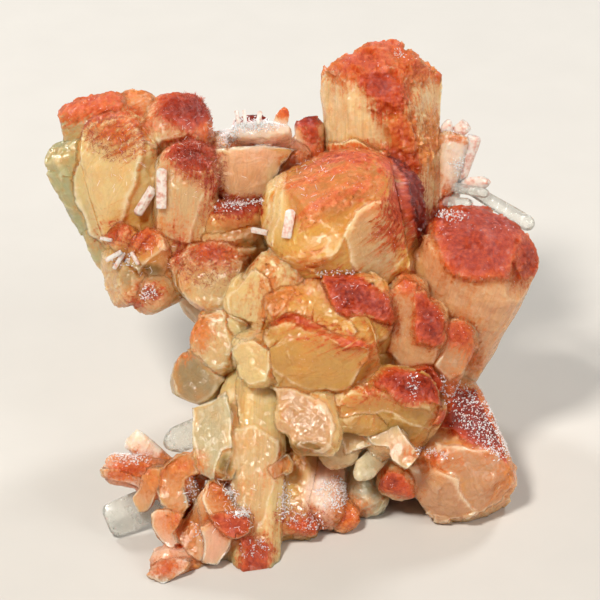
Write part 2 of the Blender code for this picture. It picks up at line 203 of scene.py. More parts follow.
FOOT = (
    Sheaf("cream column", (-9, -16, 8), (-11, -64, 12.5), 12.5, 13, "cream", 0, 0.2, "block", 0.9, 0.3,
          ribbed=0.8),
    Sheaf("cream column left", (-12, -16, 4), (-21.5, -40, 15), 11, 11, "cream", 0, 0.2, "block", 0.85, 0.3),
    Sheaf("sparkly face", (0, -28, 0), (-1.5, -55, 9), 11, 12, "ochre", 0, 0.2, "block", 0.85, 0.3),
    Sheaf("grey lump", (6, -28, -4), (5.5, -52, 9), 10, 12, "pink", 0, 0.2, "lump", 0.9),
    Sheaf("grey white lump", (14, -28, -10), (16, -50, 2), 11, 12, "grey", 0, 0.2, "lump", 0.9),
    Sheaf("orange red tip", (4, -42, -2), (12.2, -52.4, 7), 8, 7, "orange", 0, 0.3, "lump", 0.9),
    Sheaf("red druse lump", (-4, -46, 4), (2.4, -53.2, 11), 9, 8, "peach", 0, 0.8, "lump", 0.9),
    Sheaf("sugared red sheaf", (-22, -42, 2), (-46.2, -38, 11), 8, 8, "pink", 0, 0.5, "dome", 0.9),
    Sheaf("pink knob", (-29, -40, 4), (-40.2, -30.6, 9), 5.4, 4, "blush", 0, 0.3, "block", 0.8, 0.5,
          ribbed=0.2),
    Sheaf("orange plate edge", (-28, -50, 8), (-35.6, -39, 14), 4.4, 4, "orange", 0, 0.1, "chisel", 0.8, 0.5),
    Sheaf("orange plate high", (-22, -54, 6), (-30, -37, 17), 6.4, 4, "orange", 0, 0.2, "chisel", 0.8, 0.6),
    Sheaf("orange plate low", (-24, -58, 10), (-33.5, -50, 18.6), 6, 4.4, "orange", 0, 0.2, "chisel", 0.9,
          0.6),
    Sheaf("broad flat plate", (-18, -66, 9), (-21.5, -43, 20.6), 9, 5, "peach", 0, 0.3, "chisel", 0.9, 0.6),
    Sheaf("red lens low", (-12, -56, 10), (-17.5, -49.2, 22), 6.4, 4, "orange", 0, 0.6, "lump", 0.9),
    Sheaf("pink toe", (-20, -62, 11), (-34.6, -59.3, 20), 8.5, 8, "pink", 0, 0.4, "lump", 0.9),
)

BACK_SIDE = (
    Sheaf("back column", (18, -6, -30), (19, 42, -34), 22, 18, "straw", 2, 0.5, lumpy=0.6, ribbed=1),
    Sheaf("back left dome", (-8, 2, -18), (-20, 28, -32), 20, 18, "cream", 1, 0.5, lumpy=0.6),
    Sheaf("back left low dome", (-8, -8, -18), (-26, 8, -34), 19, 17, "beige", -1, 0.3, lumpy=0.6),
    Sheaf("back middle dome", (6, -10, -22), (2, 14, -48), 22, 20, "peach", 2, 0.6, lumpy=0.6, ribbed=0.8),
    Sheaf("back right dome", (24, -10, -22), (40, 6, -38), 21, 20, "cream", 1, 0.5, lumpy=0.5, ribbed=0.8),
    Sheaf("back right low dome", (24, -22, -22), (42, -22, -36), 20, 18, "greenish", -1, 0.3),
    Sheaf("back low dome", (6, -20, -20), (8, -14, -52), 22, 18, "cream", -1, 0.4, lumpy=0.6),
    Sheaf("lobe back dome", (-28, 16, -14), (-40, 32, -26), 16, 14, "greenish", 1, 0.4),
    Sheaf("lobe back low dome", (-26, 12, -14), (-36, 14, -28), 14, 13, "beige", -1, 0.4),
)

ROOT_MASS = (
    Sheaf("core", (8, -34, -16), (8, 16, -6), 44, 34, "beige", taper=0.9),
    Sheaf("left neck", (0, 8, -14), (-38, 24, -12), 26, 20, "beige", taper=0.95),
    Sheaf("front root", (6, -34, -8), (6, 2, 0), 30, 22, "ochre", taper=0.95),
    Sheaf("left foot root", (-2, -22, -8), (-15, -64, 1), 24, 19, "beige", form="block", taper=0.9),
    Sheaf("middle foot root", (6, -16, -22), (8, -54, -19), 40, 24, "beige", form="block", taper=0.9),
    Sheaf("back foot root", (6, -10, -28), (10, -44, -38), 46, 30, "beige", form="block", taper=0.9),
)


class Face(NamedTuple):
    where: str
    tint: str
    rise: float  # mm that it stands over the skin round it
    corners: tuple  # its outline as seen, right and up, in mm
    red: float = 0  # how deep a red stains the whole face, if any does
    lean: tuple = (0, 0)  # how far it falls back toward the left and the foot, in mm on each mm
    plate: bool = False  # whether a thin plate of that outline stands there


# Flat faces that show as such, with the outline of each
FACES = {
    "front_sheaves": (
        Face("body under the wavy sheaf", "honey", -0.5, (
            (9.8, -2.9), (14.4, -1.7), (19.2, -2.9), (22.6, -5), (20.4, -7.4), (16.3, -8.2), (12.5, -7.4)),
            lean=(0, 0.3)),
        Face("left facet of the wavy sheaf", "honey", 0.5, (
            (-3.6, -1.6), (-2.3, 3.7), (1.7, 6.8), (5.3, 8.1), (4.8, 5.5), (6.6, 2.8), (8.3, -0.7),
            (11, -2.9), (13.7, -6), (11, -7.8), (6.6, -5.1), (0.4, -2.9)), lean=(0.15, -0.1)),
        Face("dark face of the wavy sheaf", "ochre", 1.1, (
            (4.8, 5.5), (5.3, 7.7), (10.1, 8.6), (15.4, 5.9), (20.7, 2.8), (22.3, -2), (21.6, -4.3),
            (15.4, -2), (11, -2), (8.3, -0.7), (6.6, 2.8)), 0.6, (-0.1, -0.2)),
        Face("slab", "ochre", 0.7, (
            (-7.4, -4.6), (-3.8, -2.9), (0, -4.1), (4.3, -6), (9.6, -8.6), (15.8, -9.6), (16.3, -12.2),
            (12, -18.5), (7.2, -19.9), (2.9, -19.4), (-2.4, -17.8), (-6.7, -13.2), (-8.4, -7.9)),
            lean=(0.05, 0.1)),
        Face("slab's rim", "ochre", 0.5, (
            (-7.2, -3.6), (-3.8, -1.7), (1.2, -2.2), (6, -5.5), (12, -7), (16.3, -8.4), (16.1, -10.1),
            (9.6, -9.1), (4.3, -6.2), (0, -4.3), (-3.8, -3.1)), 0.5, (0.1, -0.4)),
        Face("high knob", "cream", 0.9, (
            (-13, 7.4), (-10.3, 8.9), (-7.7, 6.5), (-6.7, 4.1), (-8.2, 1), (-8.4, -2.6), (-9.1, -6),
            (-12, -7.4), (-15.4, -6.5), (-17.3, -3.6), (-16.3, 2.4)), lean=(0.2, -0.1)),
        Face("orange lobe", "amber", 0.9, (
            (-7.9, 2.4), (-5.3, 4.3), (-1.7, 4.3), (-1, 2.9), (-3.4, 0.2), (-6.5, -1.9), (-8.2, -0.5)),
            lean=(-0.1, -0.2)),
        Face("low knob", "cream", 0.7, (
            (-16.3, -10.1), (-14.2, -8.2), (-10.6, -7.9), (-7.7, -9.8), (-6.5, -14.2), (-8.4, -17.5),
            (-12, -18.2), (-14.9, -15.6)), lean=(0.15, 0.1)),
        Face("terraced lobe", "rose", 0.9, (
            (-10.1, -20.4), (-6.7, -18.5), (-1.9, -19.4), (2.6, -20.2), (6.2, -22.8), (8.2, -28.1),
            (7.4, -31.9), (5.3, -34.1), (1, -32.9), (-3.4, -30.2), (-9.1, -28.6), (-12, -25.2)),
            lean=(0.1, 0.1)),
        Face("flank", "ochre", 0.3, (
            (8.6, -20.6), (12.5, -19), (17.3, -18.7), (22.1, -21.8), (27.6, -23.5), (32.9, -26.2),
            (30.7, -29.5), (24, -26.2), (19.2, -24), (13.7, -25), (9.1, -25.2)), lean=(-0.1, 0.25)),
        Face("red top", "ochre", 0.9, (
            (16.8, -17.5), (20.4, -15.1), (25.2, -14.4), (31.7, -14.2), (33.8, -17.5), (33.4, -23),
            (28.8, -22.3), (23.5, -21.6), (19.2, -18.7)), 0.65, (-0.1, -0.2)),
        Face("thorn", "ochre", 0.5, ((35, -22.8), (36, -24.2), (34.6, -27.1), (31.2, -27.6), (32.9, -24.7)),
             0.65, (-0.3, -0.1)),
        Face("striped body", "peach", 0.2, (
            (21.1, 4.1), (24.5, 7.2), (27.1, 5.5), (27.1, -3.1), (27.8, -8.6), (32.2, -9.8), (31.7, -13.2),
            (24, -13.7), (20.6, -10.8), (22.6, -5.5)), lean=(-0.1, 0)),
        Face("brown cap", "ochre", 0.5, (
            (26.9, 3.6), (29.8, 3.6), (32.6, -0.2), (35.3, -5.5), (33.6, -8.6), (30.7, -9.1), (27.4, -8.6),
            (26.6, -3.1)), 0.6, (-0.3, -0.1)),
        Face("orange brown dome", "rose", 0.5, (
            (34.1, -3.6), (36.5, -2.2), (39.1, -3.1), (41.5, -7.9), (42.7, -12.7), (40.8, -15.6),
            (35, -17.5), (32.2, -13.7), (35.5, -7.4)), lean=(-0.2, -0.1)),
        Face("left tip", "beige", 0.4, (
            (-26.4, -4.3), (-24, -1.7), (-18.7, -0.5), (-16.8, -5.5), (-16.3, -10.3), (-18.2, -16.3),
            (-21.6, -14.2), (-25.9, -9.1)), lean=(0.2, -0.1)),
        Face("grey block", "khaki", 0.5, (
            (-32.2, -13.9), (-27.6, -9.8), (-22.8, -12.7), (-18.2, -17.5), (-20.6, -20.9), (-25.2, -23.8),
            (-28.8, -20.4)), lean=(0.2, 0.1)),
    ),
    "lower_right_sheaves": (
        Face("front of the block", "rose", 0.5, (
            (31.9, -31.9), (40.3, -33.4), (47.8, -35), (51.8, -39.6), (47.8, -46.8), (42.2, -49.2),
            (37.9, -43.9), (36.7, -39.6), (32.4, -37.4), (31.7, -33.6)), lean=(-0.1, 0.1)),
        Face("druse face", "rose", 0.5, (
            (35.5, -19.7), (43.4, -19), (51.8, -36.2), (51.4, -39.6), (47.3, -34.8), (41.5, -32.9),
            (38.2, -31.4), (36.7, -29.5), (32.4, -28.1), (35.3, -24.2)), 0.75, (-0.35, -0.25)),
        Face("lower lobe", "rose", 0.3, (
            (25.7, -37.4), (31.9, -37.4), (37.2, -41), (37.9, -43.9), (42.2, -49.4), (38.2, -50.6),
            (33.1, -50.9), (29.3, -49.2), (27.8, -46.1), (27.1, -41)), lean=(0.1, 0.3)),
        Face("stained facet", "beige", 0.6, (
            (18, -41), (20.6, -39.1), (24.2, -38.9), (26.4, -42.5), (27.8, -45.8), (25, -44.6),
            (20.6, -44.6), (18.2, -43.2)), 0.5, (0.1, 0.1)),
        Face("pale lump right", "beige", 0.5, (
            (13.9, -25.7), (17.5, -24.2), (21.4, -24.5), (23.5, -28.1), (25.7, -31.4), (28.3, -34.8),
            (25, -38.2), (21.4, -36), (20.6, -32.9), (16.6, -31.9), (15.4, -28.6)), lean=(0.1, -0.2),
            plate=True),
        Face("pale lump left", "beige", 0.6, (
            (8.9, -26.4), (13, -26.6), (14.6, -29.8), (16.6, -32.2), (14.6, -33.6), (10.6, -34.3),
            (9.8, -30.5)), lean=(0.2, 0.1), plate=True),
    ),
    "foot_sheaves": (
        Face("left slab of the column", "grey", 0.5, (
            (-25.4, -23.8), (-17.5, -20.6), (-16.3, -24.7), (-15.8, -32.6), (-18.7, -33.6), (-20.4, -40.6),
            (-23.3, -39.1), (-25, -31.9)), lean=(0.3, 0), plate=True),
        Face("main column", "beige", 0.5, (
            (-15.4, -28.3), (-10.6, -28.1), (-5, -31), (-5.8, -38.2), (-6.7, -43.7), (-9.1, -51.1),
            (-11, -53.5), (-12.7, -47.5), (-15.8, -45.6), (-17.3, -39.1), (-16.1, -34.3)), lean=(0, 0.05)),
        Face("flake", "peach", 1.3, (
            (-7.2, -37.7), (-4.8, -35.8), (-2.9, -34.8), (-1.9, -36.7), (-2.4, -38.6), (-4.3, -39.4),
            (-6.2, -39.6)), lean=(0.2, 0.2), plate=True),
        Face("low face of the sugared sheaf", "blush", 0.4, (
            (-47.2, -38.2), (-46.5, -39.9), (-38.3, -42.3), (-36.8, -40.2), (-40.7, -39.3), (-45.2, -37.8)),
            lean=(0, 0.4), plate=True),
        Face("left petal", "peach", 0.7, (
            (-37.7, -40.6), (-35.8, -37.9), (-33.4, -37.7), (-32.2, -37.9), (-32.9, -40.6), (-33.6, -43.7),
            (-34.8, -46.8), (-36.2, -48.2), (-38.4, -48.5), (-39.6, -45.1), (-37.9, -42.5)),
            lean=(0.3, 0.15), plate=True),
        Face("high petal", "peach", 1, (
            (-32.9, -40.1), (-31.4, -37), (-29, -34.8), (-26.2, -34.3), (-24.7, -36.2), (-23.8, -38.9),
            (-25.9, -39.6), (-27.8, -40.6), (-26.6, -44.4), (-25.9, -46.6), (-27.1, -48), (-30.2, -47.3),
            (-32.6, -46.1), (-33.4, -43.2)), lean=(0.15, -0.3), plate=True),
        Face("low petal", "pink", 0.6, (
            (-34.8, -48.5), (-33.6, -47.3), (-30.7, -47.3), (-27.1, -48.2), (-29.3, -52.6), (-28.1, -55),
            (-30.2, -55.7), (-32.2, -55), (-34.6, -51.4)), lean=(0.3, 0.2), plate=True),
        Face("broad plate's left half", "peach", 4.4, (
            (-29.3, -52.6), (-24, -45.6), (-23.8, -48.5), (-23.3, -51.1), (-22.3, -54), (-22.8, -59),
            (-23.8, -59.3), (-25.9, -58.1), (-27.8, -55.4)), lean=(0.3, 0), plate=True),
        Face("broad plate's right half", "pink", 3.8, (
            (-23.3, -51.1), (-21.1, -49.9), (-18.5, -51.6), (-15.8, -54), (-17, -57.1), (-19.2, -60.2),
            (-22.8, -59.5), (-22.3, -54)), lean=(-0.3, 0.1), plate=True),
        Face("upper petal", "peach", 0.7, (
            (-21.6, -40.6), (-20.2, -40.3), (-18.2, -41.8), (-15.6, -45.8), (-13, -47.3), (-15.6, -47.8),
            (-18.5, -48.7), (-21.1, -48.7), (-22.3, -44.4)), lean=(-0.1, -0.3), plate=True),
        Face("low lens", "peach", 0.8, (
            (-21.4, -48.2), (-17, -48), (-12.7, -47.8), (-11.5, -49.2), (-11.5, -52.3), (-14.6, -54),
            (-17.3, -53.5), (-20.4, -49.9)), 0.5, (0, 0.3), plate=True),
        Face("toe", "pink", 0.6, (
            (-35.8, -62.4), (-32.2, -59), (-29, -58.1), (-25.4, -59.3), (-26.6, -61.4), (-30.7, -63.8),
            (-32.2, -64.6)), lean=(0.1, -0.3), plate=True),
        Face("red druse", "orange", 0.5, (
            (-14.4, -52.8), (-10.6, -53), (-9.1, -57.1), (-6.7, -61), (-7.7, -62.6), (-13.2, -62.6)), 0.6,
            (-0.3, 0.1)),
    ),
    "tall_and_centre_sheaves": (
        Face("spill of the tall column", "honey", 0.6, (
            (12.5, 54.5), (17.3, 57.8), (22.1, 55.9), (24, 49.7), (23.5, 46.8), (20.4, 48.7), (15.8, 50.6)),
            0.6),
        Face("its lump", "amber", 1.1, (
            (20.6, 43), (24, 46.8), (27.1, 44.4), (28.3, 40.1), (26.9, 37.2), (22.6, 37.7)), 0.3, (0.1, 0.1)),
        Face("its right facet", "straw", 0, (
            (29.3, 53.5), (31.2, 56.9), (34.3, 55.4), (34.8, 44.4), (33.1, 46.8), (31.2, 49.7)),
            lean=(-0.3, 0)),
        Face("front of the dome", "honey", 0.2, (
            (-4.6, 33.4), (0, 37.4), (7.2, 39.4), (13.2, 40.1), (20.2, 37.2), (25, 31.4), (26.9, 22.8),
            (23.5, 24.7),
            (17.3, 25), (12.5, 22.1), (10.3, 16.6), (7.2, 10.8), (0, 9.4), (-8.2, 12.7)), lean=(0.05, -0.15)),
        Face("left face of the dome", "cream", -0.3, (
            (-5, 33.4), (-2.6, 35.3), (-3.8, 28.1), (-5.3, 19.7), (-6.7, 14.6), (-9.1, 15.1), (-8.4, 19.4)),
            lean=(0.35, 0)),
        Face("knobs under the dome", "honey", 0.4, (
            (-8.9, 10.6), (-2.9, 11.8), (3.6, 8.9), (4.3, 7), (0, 5.5), (-3.6, 4.8), (-7.2, 5.5)),
            lean=(0.1, 0.2)),
        Face("lower right face of the dome", "beige", 0.15, (
            (10.3, 16.6), (12.5, 22.1), (17.3, 25), (23.5, 24.7), (26.9, 22.8), (28.1, 17.5), (23.5, 10.1),
            (19.2, 4.3), (13.9, 7), (12, 10.8)), lean=(-0.1, 0.1)),
        Face("cap of the right sheaf", "peach", 0.5, (
            (31.4, 20.4), (36, 23.8), (42, 24.2), (48, 22.3), (50.9, 17.3), (50.9, 10.8), (49.2, 6.5),
            (40.8, 6.5), (35.5, 7.4), (32.6, 13.7)), 0.5, (0, -0.1)),
        Face("its right lobe", "peach", 0.8, (
            (50.9, 14.2), (52.8, 16.6), (55.4, 16.6), (57.8, 10.8), (56.6, 7.4), (52.3, 6), (51.1, 9.8)),
            0.6, (-0.3, -0.1)),
    ),
    "left_lobe_sheaves": (
        Face("red lobe", "beige", 0.5, (
            (-37.9, 43.2), (-35.5, 48.7), (-32.4, 51.6), (-28.8, 52.3), (-24.5, 50.9), (-21.1, 47.3),
            (-19.7, 43.7), (-21.6, 38.6), (-26.9, 41), (-32.4, 39.6), (-34.8, 37.7), (-36.5, 40.1)),
            lean=(0, -0.1)),
        Face("cream sheaf", "cream", 0.6, (
            (-54.7, 30.2), (-52.1, 36.7), (-48.5, 42), (-45.1, 45.1), (-40.8, 43.9), (-37, 41.3),
            (-37.4, 35.3), (-39.6, 28.1), (-41.8, 22.1), (-43.7, 16.1), (-48, 15.4), (-50.4, 17.3),
            (-52.8, 23.3)), lean=(0.15, 0)),
        Face("needle dome", "beige", 0.6, (
            (-34.1, 34.8), (-31.2, 38.6), (-26.9, 40.1), (-23, 37.2), (-20.4, 32.9), (-18.5, 27.6),
            (-20.6, 26.2), (-22.6, 27.1), (-24.5, 22.1), (-25.9, 14.6), (-30.7, 16.1), (-35, 18.5),
            (-33.6, 25.7)), lean=(-0.1, 0)),
        Face("pale body between the domes", "peach", 0.2, (
            (-20.2, 37.7), (-9.1, 38.6), (-1.5, 37.7), (-4.1, 34.1), (-6.7, 29.3), (-9.1, 25.7),
            (-13.2, 24.5),
            (-18, 24.5), (-19.4, 28.1)), lean=(-0.1, 0.25), plate=True),
        Face("fuzzy dome", "beige", 0.5, (
            (-31, 11.5), (-26.9, 14.6), (-21.4, 15.6), (-15.6, 14.4), (-10.8, 13.7), (-13.7, 8.9),
            (-16.8, 4.6), (-17.8, -1.2), (-22.1, -1), (-26.4, 1.7), (-30, 5)), lean=(0, 0.1)),
        Face("orange ridge", "peach", 0.6, (
            (-40.8, 10.8), (-38.4, 14.9), (-35.5, 17.3), (-32.6, 16.6), (-31.7, 13.7), (-36, 11.3),
            (-38.4, 7.7)), lean=(0.2, -0.2)),
    ),
}

SHEAVES = (*TALL_AND_CENTRE, *LEFT_LOBE, *FRONT, *LOWER_RIGHT, *FOOT, *BACK_SIDE, *ROOT_MASS)

CLEAR_BLADES = (
    Sheaf("clear rod", (40, 30, -16), (56.6, 19.4, -7), 4, 3.6, "grey", form="lump", taper=0.7, crown=0.5),
    Sheaf("clear plate", (34, 30, -14), (46, 27.4, -9), 2.6, 2, "grey", form="lump", taper=0.9, crown=0.6),
    Sheaf("clear edge", (34, 26, -15), (42, 25, -10), 2.8, 2.4, "grey", form="lump", taper=0.9, crown=0.6),
    Sheaf("clear grey blade", (-24, -42, 0), (-45.8, -51.2, 8), 8.4, 2.6, "grey", form="block", taper=0.9,
          crown=0.5),
    Sheaf("white blade left", (-18, -27, 4), (-32, -32.6, 10), 6.4, 2.4, "grey", form="chisel", taper=1,
          crown=0.5),
    Sheaf("clear bit low", (-22, -60, 6), (-31.4, -54.2, 13), 4.4, 3, "grey", form="chisel", taper=0.9,
          crown=0.5),
    Sheaf("clear bit lowest", (-18, -58, 8), (-27.5, -63, 12), 3.4, 3, "grey", form="block", taper=0.9,
          crown=0.5),
)

MILKY_BLADES = (
    Sheaf("white blade high", (37, 26, -16), (42.6, 41.6, -10.4), 3.6, 3, "grey", form="block", taper=0.9,
          crown=0.4),
    Sheaf("its top", (33, 38, -16), (40.6, 44.4, -10), 3.4, 3, "grey", form="block", taper=0.9, crown=0.4),
    Sheaf("its edge", (38, 30, -15), (46, 30.4, -10), 3, 2.6, "grey", form="chisel", taper=0.9, crown=0.5),
    Sheaf("its tip", (34, 34, -15), (36.2, 45.4, -10), 3, 2.6, "grey", form="chisel", taper=0.9, crown=0.6),
)


class Prism(NamedTuple):
    root: tuple  # right and up, and how far over the skin there, in mm
    tip: tuple
    width: float


PRISMS = (
    Prism((-32.8, 23.4, 0.8), (-32.6, 32.2, 1.4), 2.8),
    Prism((-34.8, 28.4, 0.6), (-38.6, 22.4, 1.4), 2.7),
    Prism((-3.2, 16, 0.6), (-2.2, 22.2, 1.4), 2.7),
    Prism((-7.6, 17.4, 0.2), (-11.2, 18.2, 1.4), 1.6),
    Prism((-14.6, 43.4, 0), (-15.2, 46.8, 1.5), 1.2),
    Prism((-13, 43.4, 0), (-13.4, 47, 1.5), 1.1),
    Prism((-10, 43.4, 0), (-9.6, 46.6, 1.5), 1.4),
    Prism((-42.4, 13.2, 0.2), (-46, 11.2, 2), 1.3),
    Prism((-42, 12.8, 0.2), (-44.2, 9.2, 2), 1.2),
    Prism((-40, 13, 0.2), (-38.4, 10.2, 2), 1.1),
    Prism((-44.6, 15.8, 0.2), (-47.4, 16.4, 1.5), 1.0),
)


class Patch(NamedTuple):
    where: str
    right: float
    up: float
    half_width: float
    half_height: float
    value: object = 1.0
    turn: float = 0.0  # degrees that it is turned to the left


# Where iron stain spreads, and how deep its red is
STAIN_PATCHES = (
    Patch("tall column's cap", 15, 59, 11, 6, 0.42),
    Patch("its right shoulder", 27, 58, 7, 5.5, 0.35),
    Patch("its spill", 22, 50.5, 5.5, 7.5, 0.5, -25),
    Patch("its dark streak", 22.5, 54, 2.2, 7, 0.9, -20),
    Patch("its lump", 25, 42, 4.2, 6.5, 0.4),
    Patch("its right side", 31.5, 39, 3.4, 8, 0.15),
    Patch("central dome's top", 11, 35.8, 15, 3.4, 0.5, 0),
    Patch("its right top", 24, 34, 6, 7, 0.55, 40),
    Patch("its right side", 24, 24.5, 5, 11, 0.6, -12),
    Patch("its upper streak", 6, 31.5, 11, 2.4, 0.3, 20),
    Patch("its middle streak", 9, 26, 12, 2.4, 0.3, 20),
    Patch("its low streak", 2.5, 22, 6, 1.6, 0.2, 24),
    Patch("its lower stain", 23, 15.5, 3.2, 2.6, 0.5),
    Patch("stain over the slab", 1.4, 9.2, 3.6, 2.4, 0.15),
    Patch("dark neighbour", 27.5, 26, 3.4, 11, 0.95, 8),
    Patch("right cap", 43.5, 19, 13.4, 10.5, 0.55, -18),
    Patch("its dark corner", 33.6, 21.5, 4.3, 4.3, 0.75),
    Patch("its right end", 53, 10, 4.4, 5, 0.55),
    Patch("its lower fringe", 40, 7.6, 6, 2, 0.5),
    Patch("back of the cream sheaf", -47, 46.5, 9, 4, 0.45),
    Patch("cream sheaf's top", -43.6, 41, 6, 2.6, 0.3, -20),
    Patch("peach dome's foot", -37.5, 43.5, 4, 2.4, 0.4),
    Patch("red lobe", -26.5, 48, 9.4, 6.6, 0.72),
    Patch("its right side", -22, 42, 4, 5, 0.4),
    Patch("needle dome", -25.6, 36.5, 7.4, 5.6, 0.75, -30),
    Patch("needle dome's right side", -20.6, 31, 3, 6, 0.9, 15),
    Patch("red lens", -14, 24.2, 8, 3.8, 0.85, 8),
    Patch("brown back dome", 2.9, 42.5, 3.6, 4.1, 0.7),
    Patch("pink back sheaf's speck", -16.5, 33, 4.5, 2, 0.25),
    Patch("small red dome", -43.6, 18, 3.4, 2.6, 0.6),
    Patch("orange ridge", -37.4, 16, 4.1, 1.8, 0.4, 35),
    Patch("lower left druse", -36.0, 3.4, 2.9, 2.4, 0.9),
    Patch("its edge", -39, 0.9, 2.2, 1.4, 0.7),
    Patch("fuzzy dome's top", -21.2, 13.2, 7.5, 3, 0.55, -6),
    Patch("left of it", -29, 14, 1.8, 5, 0.7),
    Patch("left tip's rim", -24.4, -6, 2.6, 4.2, 0.12, -15),
    Patch("grey block's edge", -29.6, -10.6, 3.0, 1.7, 0.2),
    Patch("furrow in the knobs", -7.2, 4.6, 1.7, 6, 0.1, -12),
    Patch("small orange lobe", -3.6, 2.6, 3.2, 1.8, 0.12, 15),
    Patch("slab's rim, left", -1.8, -3.4, 4.6, 1.3, 0.5, -14),
    Patch("slab's rim, middle", 5.5, -6.2, 5.8, 1.8, 0.6, -28),
    Patch("slab's rim, right", 13.9, -8.7, 4, 1.4, 0.55, -14),
    Patch("slab's right edge", 16, -12.5, 1, 3.4, 0.2),
    Patch("wavy sheaf's dark face", 14, 3.4, 8, 3.4, 0.7, -32),
    Patch("its crest", 6, 7, 7, 1.6, 0.35),
    Patch("its right corner", 21, -1.5, 2.4, 5, 0.7),
    Patch("striped sheaf's top", 25.4, 5.4, 3.6, 3.2, 0.45, -40),
    Patch("brown cap", 30.2, -2.5, 3.4, 7.4, 0.7, 18),
    Patch("orange brown dome", 37.4, -6.4, 5.3, 4, 0.5),
    Patch("its right side", 41, -11, 2.4, 6, 0.4, 10),
    Patch("red top", 26.5, -18.4, 7.6, 3, 0.7, 6),
    Patch("its left end", 18.4, -19.6, 4, 1.2, 0.6, 14),
    Patch("red thorn", 33.8, -25.2, 2.4, 3, 0.65),
    Patch("druse block's top", 40.4, -25.4, 11, 5.4, 0.4, -50),
    Patch("pale sheaf's red tip", 38.4, 40.8, 2.8, 1.5, 0.35, -20),
    Patch("its stain by the thorn", 30.5, -35.5, 5, 1.8, 0.45, -12),
    Patch("its lower left stain", 23.8, -42.7, 3.8, 2.8, 0.6, -22),
    Patch("stained right edge", 50, -37, 2, 6, 0.1, -20),
    Patch("orange red tip", 11.4, -49.6, 4.1, 3.8, 0.3),
    Patch("red druse at the foot", -10.8, -57.8, 4.3, 4.8, 0.65),
    Patch("red druse lump", 1.4, -51.4, 5.8, 2.6, 0.55),
    Patch("ledge over it", -3.6, -37.6, 3.2, 1.4, 0.1, 28),
    Patch("sugared red sheaf", -39.6, -38.2, 6.5, 2.8, 0.45),
    Patch("plate edge", -34.6, -40.6, 3, 3, 0.12, 20),
    Patch("high plate", -28.4, -37.4, 4.4, 3.6, 0.2),
    Patch("low plate", -28.6, -49.4, 3, 2.4, 0.3),
    Patch("broad plate's left", -26, -51, 2.4, 5, 0.15, 18),
    Patch("broad plate's right", -18.6, -43.6, 2.6, 4, 0.3, 30),
    Patch("low lens", -16.3, -50.8, 5, 2.8, 0.55, -12),
    Patch("toe", -31.4, -61, 4.6, 2.2, 0.45, 10),
    Patch("toe's right", -25, -61, 2, 2, 0.3),
)

# Where the bodies stay free of iron
CLEAN_PATCHES = (
    Patch("plate", -11, 40.6, 10, 4.6),
    Patch("pale body between the domes", -13, 32, 7, 5),
    Patch("broad plate's right half", -19.6, -55.4, 4, 4),
    Patch("pale sheaf behind", 37, 36, 4, 3.4),
    Patch("tall column's foot", 11, 43.4, 6, 3.4),
    Patch("left face of the dome", -5.6, 24, 2.4, 9, turn=8),
)

# Where a crust of sugary druse grows
SUGAR_PATCHES = (
    Patch("high petal's right edge", -25.6, -43, 1.6, 4, 1.6),
    Patch("upper petal's right edge", -15.6, -44, 1.6, 4, 1.6, 34),
    Patch("low lens' top", -14, -48, 3.4, 1.5, 1.6),
    Patch("broad plate's middle", -24, -53, 1.2, 4, 1.2, 18),
    Patch("plate", -11.8, 43.6, 8.8, 2.4, 3.0),
    Patch("plate's left", -17, 42.6, 3, 3.6, 2.0),
    Patch("druse block", 43.2, -27.4, 5.6, 12, 0.45, turn=38),
    Patch("pale sheaf's top", 37.6, 43.4, 4, 1.6),
    Patch("red top", 26.4, -18.2, 1.6, 3.4),
    Patch("red top's right rim", 34.4, -19.6, 1.2, 4, turn=8),
    Patch("sugared red sheaf", -40.2, -35.6, 6, 2.2),
    Patch("lower left", -36.0, 3.4, 2.6, 2.4),
    Patch("red druse lump", 1.2, -50.6, 6.0, 2.6, 0.6),
    Patch("red druse at the foot", -10.6, -57.8, 4.3, 4.8, 0.4),
    Patch("tall column's tip", 23.6, 60.8, 3, 1.4, turn=-30),
    Patch("right cap's corner", 36.5, 21.8, 4.4, 1.9),
    Patch("red lens", -14.4, 24.2, 7.6, 1.6, turn=10),
    Patch("wavy rim", 9.5, 8.2, 7, 0.9, turn=4),
    Patch("orange ridge", -41.7, 11.3, 4.2, 2),
    Patch("behind the right cap", 38.6, 34.4, 3.2, 2.4),
    Patch("sparkly face", -3.4, -46, 2.4, 6),
    Patch("right of it", 7.6, -44, 4, 4.6),
    Patch("stained corner", 31.5, -34.4, 6, 1.4, turn=-10),
)

# Where fine red needles stand
NEEDLE_PATCHES = (
    Patch("cream sheaf's top", -44.4, 40, 8.6, 5.6, turn=-20),
    Patch("needle dome", -23.4, 34.6, 6.4, 8.0, turn=30),
    Patch("its foot", -23, 22.4, 1.4, 6, turn=-8),
    Patch("fuzzy dome", -21.4, 9.4, 7.6, 5.4),
    Patch("left of it", -29, 13, 1.8, 5),
    Patch("red lens", -14, 25, 8, 2.6, turn=10),
    Patch("red lobe", -26.4, 48.5, 7, 3.6),
    Patch("orange ridge", -39.6, 15.7, 6.2, 2.2),
    Patch("red druse lump", 0.0, -49.2, 7.6, 3.3),
    Patch("red druse at the foot", -10.8, -57.6, 4, 5),
)

# Where single white needles lie on the faces
SCRATCH_PATCHES = (
    Patch("central dome's left", 2, 30, 8, 6),
    Patch("wavy sheaf", 12, 5, 6, 3),
    Patch("brown cap", 31, -4, 3, 5),
    Patch("cream sheaf", -44, 36, 8, 8),
    Patch("red lobe", -26, 44, 8, 7),
    Patch("needle dome", -24, 32, 8, 9),
    Patch("pink back sheaf", -16, 30, 6, 6),
    Patch("left of the fuzzy dome", -36, 12, 8, 5),
    Patch("foot", -16, -46, 8, 8),
)

